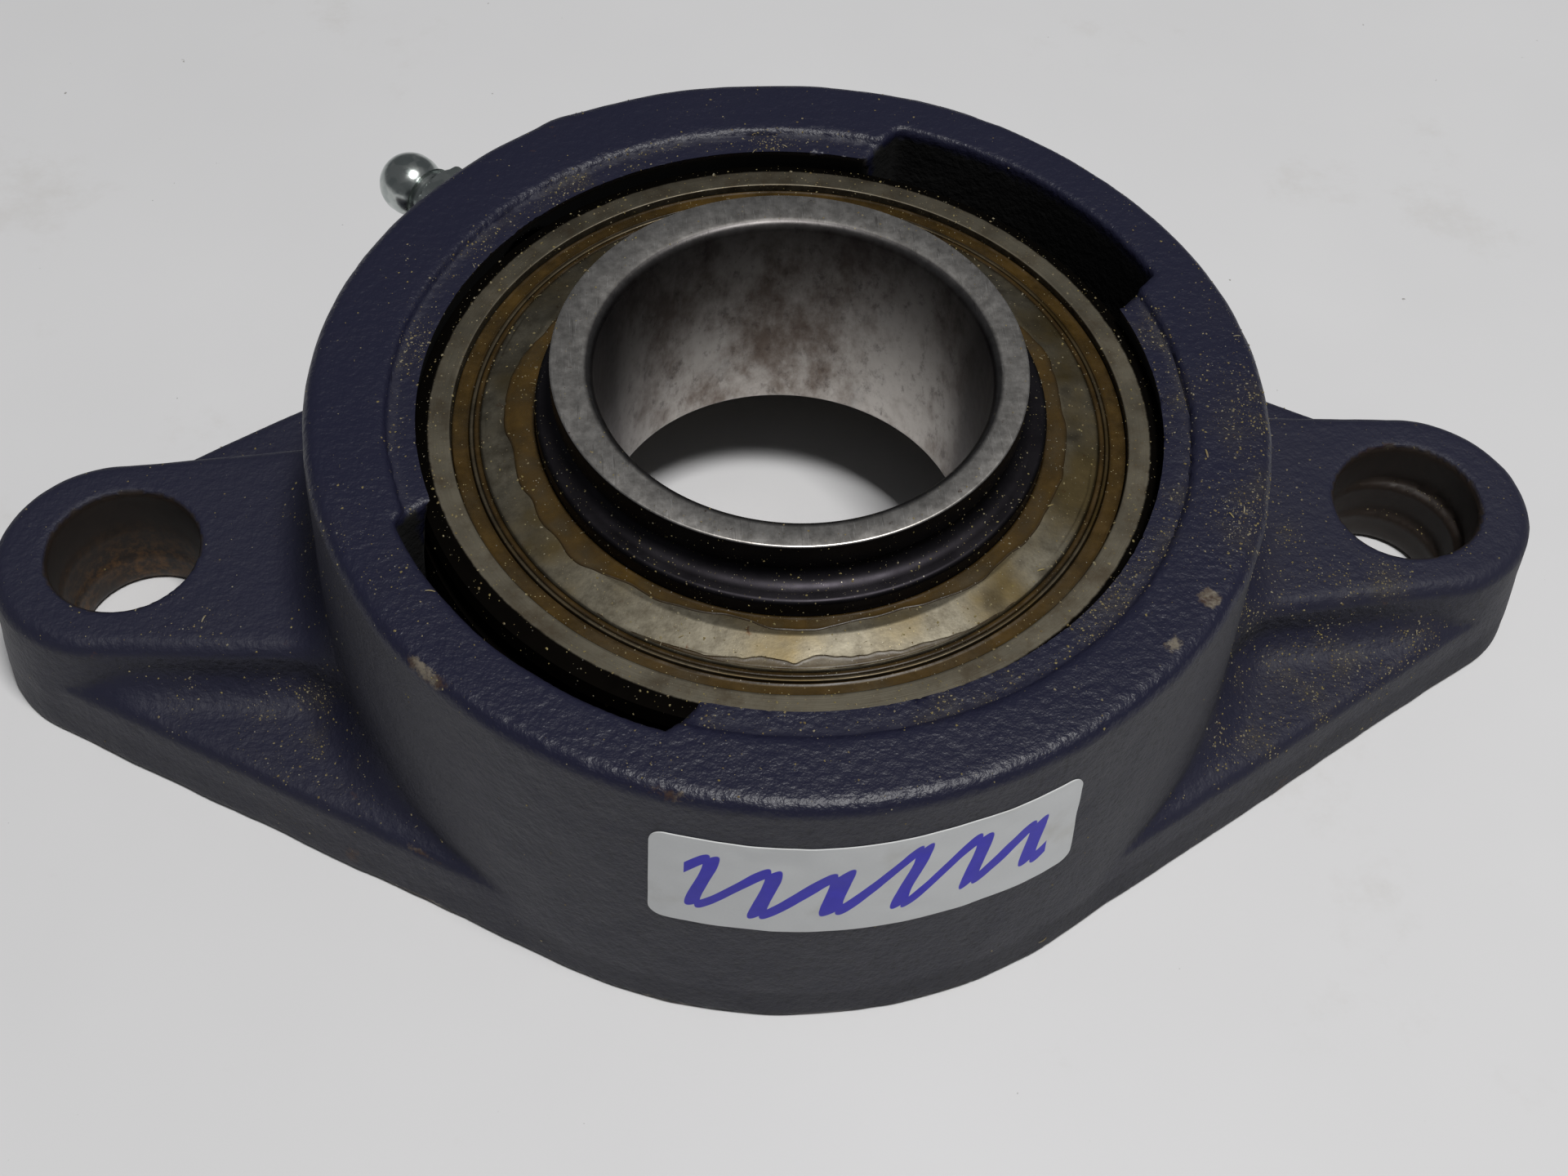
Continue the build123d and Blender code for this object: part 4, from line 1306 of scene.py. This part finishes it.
# The neck's black, which is also painted shade on the cam's side and a painted dark reflection in the bore's
# top corner.
tone = mixed(tree, mask_of(tree, "on_neck"), tone, neck_tone)
tone = mixed(tree, dust["Grains"], tone, dust["Colour"])
tree.links.new(tone, shader["Base Color"])
gloss = between(tree, noise(tree, place, 0.9, 5.0), 0.27, 0.42)
gloss = maths(tree, "ADD", gloss, maths(tree, "MULTIPLY", mask_of(tree, "in_bore"), 0.12))
gloss = maths(tree, "ADD", gloss, maths(tree, "MULTIPLY", mask_of(tree, "on_neck"), 0.06))
tree.links.new(maths(tree, "ADD", gloss, maths(tree, "MULTIPLY", dust["Haze"], 0.25)), shader["Roughness"])
tree.links.new(bump(tree, coarse["Height"], 0.010, 0.7), shader["Normal"])
inner_ring.data.materials.append(cam_steel)


# %% Pressed seals: the flinger and the shell
def pressed_finish(name, dull, bright, yellow, dark_tone):
    """Rolled sheet steel: cloudy, with fine rings from its press tool, and stained by grease."""
    material, tree, shader = new_material(name, Metallic=1.0)
    place = place_of(tree)
    marks = use_group(tree, turning_group, Place=place, Pitch=0.35)
    cloudy = threshold(tree, noise(tree, place, 2.0, 8.0, 0.75), 0.22, 0.78)
    tone = mixed(tree, cloudy, dull, bright)
    tone = mixed(tree, maths(tree, "MULTIPLY", marks["Tone"], 0.25), tone, bright)
    tone = mixed(tree, threshold(tree, noise(tree, place, 8.0, 5.0), 0.42, 0.66), tone, yellow)
    # Darker where the mask says: a line inside the rim, the rim, the shoulder and random blotches.
    darkened = maths(
        tree, "MULTIPLY", mask_of(tree, "darkened"), between(tree, noise(tree, place, 0.6, 4.0, 0.7), 0.5, 1.3)
    )
    tone = mixed(tree, maths(tree, "MINIMUM", darkened, 1.0), tone, dark_tone)
    spots = use_group(tree, rust_group, Place=place, Size=1.5, Amount=0.34)
    tone = mixed(tree, maths(tree, "MULTIPLY", spots["Mask"], 0.8), tone, spots["Colour"])
    dust = use_group(tree, dust_group, Place=place, Amount=0.45, Grain_Size=0.2)
    tone = mixed(tree, dust["Grains"], tone, dust["Colour"])
    tree.links.new(tone, shader["Base Color"])
    gloss = between(tree, noise(tree, place, 1.6, 5.0), 0.34, 0.50)
    tree.links.new(maths(tree, "ADD", gloss, maths(tree, "MULTIPLY", dust["Haze"], 0.3)), shader["Roughness"])
    tree.links.new(bump(tree, noise(tree, place, 0.5, 4.0), 0.018, 0.6), shader["Normal"])
    return material


flinger_steel = pressed_finish(
    "flinger_steel",
    colour(0.075, 0.062, 0.042),
    colour(0.25, 0.228, 0.175),
    colour(0.13, 0.098, 0.045),
    colour(0.022, 0.015, 0.007),
)
shell_steel = pressed_finish(
    "shell_steel",
    colour(0.055, 0.042, 0.026),
    colour(0.15, 0.125, 0.085),
    colour(0.080, 0.054, 0.020),
    colour(0.020, 0.014, 0.008),
)
for end in ("front", "rear"):
    flingers[end].data.materials.append(flinger_steel)
    shells[end].data.materials.append(shell_steel)
print("steels are on")

# %% [markdown]
# ## Grease, zinc, paper and the parts inside
#
# The grease film is see-through: a share of the light passes, so the steel shows below it in amber. At
# its rim it is thick and dark. Zinc plating is bright with a bluish, crystalline mottle. The label is
# matt paper with a few strokes of blue marker, which are a plain wave and say nothing.

# %% Grease
grease, tree, shader = new_material("amber_grease", IOR=1.42)
place = place_of(tree)
rim = mask_of(tree, "rim")
tone = mixed(
    tree, noise(tree, place, 3.0, 5.0, 0.65), colour(0.022, 0.012, 0.003), colour(0.100, 0.056, 0.008)
)
tone = mixed(tree, maths(tree, "MULTIPLY", rim, 0.75), tone, colour(0.008, 0.005, 0.002))
dust = use_group(tree, dust_group, Place=place, Amount=0.5, Grain_Size=0.2)
tone = mixed(tree, dust["Grains"], tone, dust["Colour"])
tree.links.new(tone, shader["Base Color"])
cover = between(tree, threshold(tree, noise(tree, place, 4.0, 5.0, 0.65), 0.3, 0.7), 0.35, 0.90)
rim_cover = threshold(tree, noise(tree, place, 5.0, 3.0), 0.38, 0.66)
cover = maths(tree, "ADD", cover, maths(tree, "MULTIPLY", maths(tree, "MULTIPLY", rim, rim_cover), 0.6))
tree.links.new(maths(tree, "ADD", cover, dust["Grains"], clamp=True), shader["Alpha"])
tree.links.new(between(tree, noise(tree, place, 2.0, 3.0), 0.22, 0.50), shader["Roughness"])
tree.links.new(bump(tree, noise(tree, place, 1.2, 4.0), 0.06, 0.6), shader["Normal"])
for piece in (shoulder_grease, margin_grease, gap_grease, channel_grease):
    piece.data.materials.append(grease)

# %% Zinc
zinc, tree, shader = new_material("zinc_plate", Metallic=1.0)
place = place_of(tree)
crystals = node(tree, "ShaderNodeTexVoronoi", {"Vector": place, "Scale": 1 / (0.9 * MM)}).outputs["Color"]
crystal = node(tree, "ShaderNodeSeparateColor", {0: crystals}).outputs[0]
tone = mixed(tree, crystal, colour(0.38, 0.42, 0.41), colour(0.56, 0.59, 0.57))
spots = use_group(tree, rust_group, Place=place, Size=1.8, Amount=0.16)
tone = mixed(tree, maths(tree, "MULTIPLY", spots["Mask"], 0.5), tone, colour(0.20, 0.19, 0.15))
tree.links.new(tone, shader["Base Color"])
tree.links.new(between(tree, noise(tree, place, 0.8, 4.0), 0.16, 0.32), shader["Roughness"])
tree.links.new(bump(tree, noise(tree, place, 0.7, 3.0), 0.02, 0.5), shader["Normal"])
nipple.data.materials.append(zinc)

# %% Label paper with a marker's wave
paper, tree, shader = new_material("label_paper", IOR=1.45)
place = place_of(tree)
on_label = node(tree, "ShaderNodeUVMap", uv_map="label").outputs[0]
uv = node(tree, "ShaderNodeSeparateXYZ", {0: on_label}).outputs
fibres = noise(tree, place, 0.25, 4.0, 0.7)
tone = mixed(tree, fibres, colour(0.62, 0.635, 0.64), colour(0.69, 0.70, 0.70))
tone = mixed(tree, threshold(tree, noise(tree, place, 6.0, 4.0), 0.55, 0.8), tone, colour(0.55, 0.55, 0.53))
slanted = maths(tree, "SUBTRACT", uv[0], maths(tree, "MULTIPLY", uv[1], 0.55))
turns_of_pen = maths(tree, "MULTIPLY", slanted, 41.0)
swell = maths(tree, "MULTIPLY", maths(tree, "SINE", maths(tree, "MULTIPLY", uv[0], 9.0)), 0.018)
tall = maths(tree, "SINE", maths(tree, "MULTIPLY", uv[0], 14.0))
tall = maths(tree, "ADD", maths(tree, "MULTIPLY", tall, 0.018), 0.072)
wave = maths(tree, "MULTIPLY", maths(tree, "SINE", turns_of_pen), tall)
off_line = maths(tree, "ABSOLUTE", maths(tree, "SUBTRACT", uv[1], maths(tree, "ADD", wave, swell)))
steepness = maths(tree, "ABSOLUTE", maths(tree, "COSINE", turns_of_pen))
pen_width = maths(tree, "ADD", maths(tree, "MULTIPLY", steepness, 0.046), 0.013)
pen_width = maths(tree, "ADD", pen_width, maths(tree, "MULTIPLY", noise(tree, place, 1.8, 2.0), 0.008))
stroke = threshold(tree, maths(tree, "SUBTRACT", pen_width, off_line), 0.0, 0.004)
inside = maths(tree, "LESS_THAN", maths(tree, "ABSOLUTE", uv[0]), 0.42)
ink = mixed(tree, noise(tree, place, 1.0, 3.0), colour(0.020, 0.012, 0.42), colour(0.040, 0.028, 0.58))
tone = mixed(tree, maths(tree, "MULTIPLY", stroke, inside), tone, ink)
tree.links.new(tone, shader["Base Color"])
tree.links.new(between(tree, fibres, 0.42, 0.58), shader["Roughness"])
tree.links.new(bump(tree, fibres, 0.01, 0.4), shader["Normal"])
label.data.materials.append(paper)


# %% Balls, cage, springs and rubber inside the insert
def plain_steel(name, dark, light, low_gloss, high_gloss):
    material, tree, shader = new_material(name, Metallic=1.0)
    place = place_of(tree)
    streaks = use_group(tree, scratch_group, Place=place, Size=0.6, Turn=0.8)
    tree.links.new(mixed(tree, streaks["Height"], dark, light), shader["Base Color"])
    tree.links.new(between(tree, noise(tree, place, 1.5, 4.0), low_gloss, high_gloss), shader["Roughness"])
    tree.links.new(bump(tree, streaks["Height"], 0.006, 0.5), shader["Normal"])
    return material


ball_steel = plain_steel("ball_steel", colour(0.52, 0.52, 0.53), colour(0.66, 0.66, 0.67), 0.06, 0.14)
cage_steel = plain_steel("cage_steel", colour(0.30, 0.29, 0.27), colour(0.45, 0.44, 0.41), 0.28, 0.42)
spring_steel = plain_steel("spring_steel", colour(0.28, 0.28, 0.30), colour(0.42, 0.42, 0.44), 0.22, 0.34)
rubber, tree, shader = new_material("seal_rubber", IOR=1.5)
place = place_of(tree)
rubber_tone = mixed(
    tree, noise(tree, place, 1.2, 5.0), colour(0.012, 0.012, 0.012), colour(0.030, 0.028, 0.026)
)
tree.links.new(rubber_tone, shader["Base Color"])
tree.links.new(between(tree, noise(tree, place, 2.0, 4.0), 0.5, 0.75), shader["Roughness"])
tree.links.new(bump(tree, noise(tree, place, 0.3, 3.0), 0.02, 0.6), shader["Normal"])

kept_nodes = {f"ball_{index}": ball_steel for index in range(1, 10)}
kept_nodes.update({"cage_front": cage_steel, "cage_rear": cage_steel, "cage_rivets": cage_steel})
kept_nodes.update({"nipple_check_ball": ball_steel, "nipple_spring": spring_steel})
kept_nodes.update({"seal_lip_front": rubber, "seal_lip_rear": rubber})
for name, material in kept_nodes.items():
    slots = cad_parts[name].data.materials
    slots.clear()
    slots.append(material)
print(len(kept_nodes), "CAD pieces kept, each with a finish")

# %% [markdown]
# ## Sawdust
#
# Pale splinters and grains lie wherever the air left them: thick in the hollows, thin on open faces. They
# are far too many to place by hand, so a Geometry Nodes tree scatters them. It reads the mask called
# dusty on the surface, puts points where the mask is high, and sets a curled chip on each, lying flat
# and turned at random. A fixed seed gives the same chips every time.

# %% One chip
def chip_mesh(name, length, width, curl):
    """A thin splinter: two rows of three points over a curve, closed underneath."""
    along = np.linspace(-0.5, 0.5, 4)
    top, low = [], []
    for share in along:
        half = width / 2 * (1 - 1.4 * share * share)
        height = curl * (0.25 - share * share) * 4
        for side in (-1, 1):
            top.append([share * length, side * half, height + width * 0.22])
            low.append([share * length + 0.1 * width, side * half * 0.7, height - width * 0.05])
    count = len(top)
    faces = []
    for start in range(0, count - 2, 2):
        faces.append([start, start + 2, start + 3, start + 1])
        faces.append([count + start + 1, count + start + 3, count + start + 2, count + start])
        faces.append([start, count + start, count + start + 2, start + 2])
        faces.append([start + 1, start + 3, count + start + 3, count + start + 1])
    faces.append([0, 1, count + 1, count])
    faces.append([count - 1, count - 2, 2 * count - 2, 2 * count - 1])
    chip = mesh_piece(name, np.array(top + low), faces)
    chip.hide_render = True
    return chip


def grain_mesh(name, size):
    """A broken crumb: a ring of uneven corners with one point above and one below."""
    corners_round = [(1.0, 0.0), (0.35, 0.8), (-0.7, 0.6), (-0.9, -0.35), (0.2, -0.75)]
    ring = [[size * a / 2, size * b / 2, size * 0.12 * (-1) ** i] for i, (a, b) in enumerate(corners_round)]
    ends = [[0.05 * size, 0.0, 0.34 * size], [0.0, 0.0, -0.12 * size]]
    after = [1, 2, 3, 4, 0]
    faces = [[i, after[i], 5] for i in range(5)] + [[after[i], i, 6] for i in range(5)]
    grain = mesh_piece(name, np.array(ring + ends), faces)
    grain.hide_render = True
    return grain


splinter = chip_mesh("splinter", 1.0, 0.16, 0.10)
grain_chip = grain_mesh("grain", 0.30)
print("splinter:", triangle_count(splinter), "triangles; grain:", triangle_count(grain_chip))

# %% Sawdust finish
sawdust, tree, shader = new_material("sawdust")
place = place_of(tree)
picked = noise(tree, place, 2.2, 2.0, 0.5)
tone = mixed(tree, threshold(tree, picked, 0.40, 0.60), colour(0.26, 0.22, 0.07), colour(0.27, 0.26, 0.21))
tone = mixed(
    tree, threshold(tree, noise(tree, place, 0.7, 2.0), 0.45, 0.65), tone, colour(0.11, 0.075, 0.030)
)
tree.links.new(
    mixed(tree, noise(tree, place, 0.2, 3.0), tone, colour(0.20, 0.15, 0.06)), shader["Base Color"]
)
tree.links.new(between(tree, picked, 0.55, 0.85), shader["Roughness"])


# %% The scattering tree
def scatter_tree():
    """Chips on a surface, as many to an area as its dusty mask says."""
    tree = bpy.data.node_groups.new("scatter chips", "GeometryNodeTree")
    sockets = [
        ("Surface", "NodeSocketGeometry"),
        ("Chip", "NodeSocketObject"),
        ("Chips per Square Metre", FLOAT),
        ("Smallest", FLOAT),
        ("Largest", FLOAT),
        ("Seed", "NodeSocketInt"),
        ("Finish", "NodeSocketMaterial"),
    ]
    for socket, kind in sockets:
        tree.interface.new_socket(socket, in_out="INPUT", socket_type=kind)
    tree.interface.new_socket("Chips", in_out="OUTPUT", socket_type="NodeSocketGeometry")
    given = tree.nodes.new("NodeGroupInput").outputs
    dusty = node(tree, "GeometryNodeInputNamedAttribute", {"Name": "dusty"}, data_type="FLOAT").outputs[0]
    inputs = {
        "Mesh": given["Surface"],
        "Density": maths(tree, "MULTIPLY", dusty, given["Chips per Square Metre"]),
        "Seed": given["Seed"],
    }
    spread = node(tree, "GeometryNodeDistributePointsOnFaces", inputs, distribute_method="RANDOM")
    chip = node(tree, "GeometryNodeObjectInfo", {"Object": given["Chip"]}).outputs["Geometry"]
    any_turn = node(tree, "FunctionNodeRandomValue", {"Seed": given["Seed"]}, data_type="FLOAT_VECTOR")
    any_turn.inputs[0].default_value = (-0.25, -0.25, 0.0)
    any_turn.inputs[1].default_value = (0.25, 0.25, 2 * math.pi)
    inputs = {0: spread.outputs["Rotation"], 1: any_turn.outputs[0]}
    turned = node(tree, "FunctionNodeRotateRotation", inputs, rotation_space="LOCAL").outputs[0]
    inputs = {2: 0.0, 3: 1.0, "Seed": given["Seed"]}
    dice = node(tree, "FunctionNodeRandomValue", inputs, data_type="FLOAT").outputs[1]
    skewed = maths(tree, "POWER", dice, 3.0)  # many small chips and few large ones
    span = maths(tree, "SUBTRACT", given["Largest"], given["Smallest"])
    size = maths(tree, "ADD", maths(tree, "MULTIPLY", skewed, span), given["Smallest"])
    inputs = {"Points": spread.outputs["Points"], "Instance": chip, "Rotation": turned, "Scale": size}
    placed = node(tree, "GeometryNodeInstanceOnPoints", inputs).outputs[0]
    real = node(tree, "GeometryNodeRealizeInstances", {0: placed}).outputs[0]
    finish = node(tree, "GeometryNodeSetMaterial", {"Geometry": real, "Material": given["Finish"]}).outputs[0]
    output = tree.nodes.new("NodeGroupOutput")
    tree.links.new(finish, output.inputs["Chips"])
    return tree


chips_tree = scatter_tree()


def scatter(name, surface, chip, density, smallest, largest, seed):
    """A plain mesh of chips that lie on a surface."""
    piece = bpy.data.objects.new(name, surface.data.copy())
    bpy.context.scene.collection.objects.link(piece)
    modifier = piece.modifiers.new("scatter", "NODES")
    modifier.node_group = chips_tree
    values = {
        "Chip": chip,
        "Chips per Square Metre": density,
        "Smallest": smallest,
        "Largest": largest,
        "Seed": seed,
        "Finish": sawdust,
    }
    for item in chips_tree.interface.items_tree:
        if item.in_out == "INPUT" and item.name in values:
            modifier[item.identifier] = values[item.name]
    bake_modifiers(piece)
    print(f"{name}: {len(piece.data.polygons) // len(chip.data.polygons)} chips")
    return piece


sawdust_pieces = {
    "housing": [
        scatter("sawdust_grains_housing", housing, grain_chip, 9000000.0, 0.22, 1.05, 3),
        scatter("sawdust_splinters_housing", housing, splinter, 90000.0, 0.25, 1.05, 4),
    ],
    "outer_ring": [
        scatter("sawdust_outer_ring", outer_ring, grain_chip, 2600000.0, 0.25, 1.15, 5),
    ],
    "inner_ring": [
        scatter("sawdust_inner_ring", inner_ring, grain_chip, 2600000.0, 0.2, 0.9, 6),
        scatter("sawdust_flinger", flingers["front"], grain_chip, 2400000.0, 0.25, 1.1, 8),
        scatter("sawdust_flinger_splinters", flingers["front"], splinter, 110000.0, 0.25, 1.0, 7),
    ],
}
for chip in (splinter, grain_chip):
    bpy.data.objects.remove(chip)

# %% [markdown]
# ## Who moves with what
#
# Each piece rides on one CAD body, so it follows that body's joint, and the CAD nodes that it
# stands for are hidden.

# %% Riding and replacing
def stands_for(piece, body, finish, *nodes):
    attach(piece, body)
    if nodes:
        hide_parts(*nodes)


stands_for(housing, "housing", "painted_iron", "housing")
stands_for(label, "housing", "paper", "paper_label")
stands_for(nipple, "housing", "zinc_plate", "nipple_body")
stands_for(outer_ring, "outer_ring", "ring_steel", "outer_ring")
stands_for(inner_ring, "inner_ring", "ground_steel", "inner_ring")
for end in ("front", "rear"):
    stands_for(shells[end], "outer_ring", "pressed_steel", f"seal_shell_{end}")
    stands_for(flingers[end], "inner_ring", "flinger_steel", f"flinger_{end}")
stands_for(shoulder_grease, "inner_ring", "flinger_steel")
stands_for(margin_grease, "inner_ring", "flinger_steel")
stands_for(gap_grease, "outer_ring", "pressed_steel")
stands_for(channel_grease, "outer_ring", "pressed_steel")
for body, pieces in sawdust_pieces.items():
    for piece in pieces:
        stands_for(piece, body, "painted_iron" if body == "housing" else "ring_steel")
print("every piece rides on a body")

# %% [markdown]
# ## Floor, light and camera
#
# The bearing lies on a pale worn bench top. One compact lamp hangs nearly above, a little to the right
# and to the front, and the room round it is dim: so flat steel stays dark, and only the slopes that face
# the lamp shine.

# %% Bench top
bench_size = 1.6
bench_mesh = bpy.data.meshes.new("bench_top")
half = bench_size / 2
bench_points = [
    (-half, -half, -0.0001), (half, -half, -0.0001), (half, half, -0.0001), (-half, half, -0.0001)
]
bench_mesh.from_pydata(bench_points, [], [(0, 1, 2, 3)])
bench = bpy.data.objects.new("bench_top", bench_mesh)
bpy.context.scene.collection.objects.link(bench)
bench_paint, tree, shader = new_material("bench_paint", IOR=1.45)
place = place_of(tree)
tone = mixed(tree, noise(tree, place, 60.0, 4.0), colour(0.69, 0.69, 0.70), colour(0.75, 0.75, 0.76))
smudge = threshold(tree, noise(tree, place, 40.0, 8.0, 0.7), 0.56, 0.70)
tone = mixed(tree, maths(tree, "MULTIPLY", smudge, 0.35), tone, colour(0.58, 0.56, 0.535))
speck = threshold(tree, noise(tree, place, 1.6, 3.0, 0.6), 0.745, 0.78)
tone = mixed(tree, maths(tree, "MULTIPLY", speck, 0.7), tone, colour(0.20, 0.19, 0.17))
tree.links.new(tone, shader["Base Color"])
tree.links.new(between(tree, noise(tree, place, 30.0, 5.0), 0.42, 0.6), shader["Roughness"])
bench_mesh.materials.append(bench_paint)

# %% Soft light
def panel(name, place, target, size, power, tint=(1.0, 1.0, 1.0)):
    """A soft light, as large as size says, that faces a target."""
    data = bpy.data.lights.new(name, "AREA")
    data.shape = "RECTANGLE"
    data.size, data.size_y = size
    data.energy = power
    data.color = tint
    lamp = bpy.data.objects.new(name, data)
    bpy.context.scene.collection.objects.link(lamp)
    away = Vector(target) - Vector(place)
    lamp.location = place
    lamp.rotation_euler = away.to_track_quat("-Z", "Y").to_euler()
    return lamp


panel("lamp_above", (0.136, -0.152, 0.90), (0, 0, 0), (0.20, 0.20), 6.7, (1.0, 0.99, 0.975))
world = bpy.data.worlds.new("room")
world.use_nodes = True
background = next(n for n in world.node_tree.nodes if n.type == "BACKGROUND")
background.inputs["Color"].default_value = (0.93, 0.96, 1.0, 1.0)
background.inputs["Strength"].default_value = 0.12
bpy.context.scene.world = world
bpy.context.scene.view_settings.view_transform = "Standard"

# %% Camera
camera_place = Vector((-0.01624, -0.12029, 0.16491))
camera_turn = math.radians(-7.91)
camera_rise = math.radians(53.1)
camera_roll = math.radians(3.91)
back = Vector((
    math.sin(camera_turn) * math.cos(camera_rise),
    -math.cos(camera_turn) * math.cos(camera_rise),
    math.sin(camera_rise),
))
level_right = Vector((0, 0, 1)).cross(back).normalized()
level_up = back.cross(level_right)
right = math.cos(camera_roll) * level_right + math.sin(camera_roll) * level_up
up_in_view = -math.sin(camera_roll) * level_right + math.cos(camera_roll) * level_up
camera_data = bpy.data.cameras.new("camera")
camera_data.sensor_width = 36.0
camera_data.lens = 44.158
camera_data.clip_start = 0.005
camera = bpy.data.objects.new("camera", camera_data)
camera.matrix_world = (
    Matrix.Translation(camera_place) @ Matrix((right, up_in_view, back)).transposed().to_4x4()
)
bpy.context.scene.collection.objects.link(camera)
bpy.context.scene.camera = camera
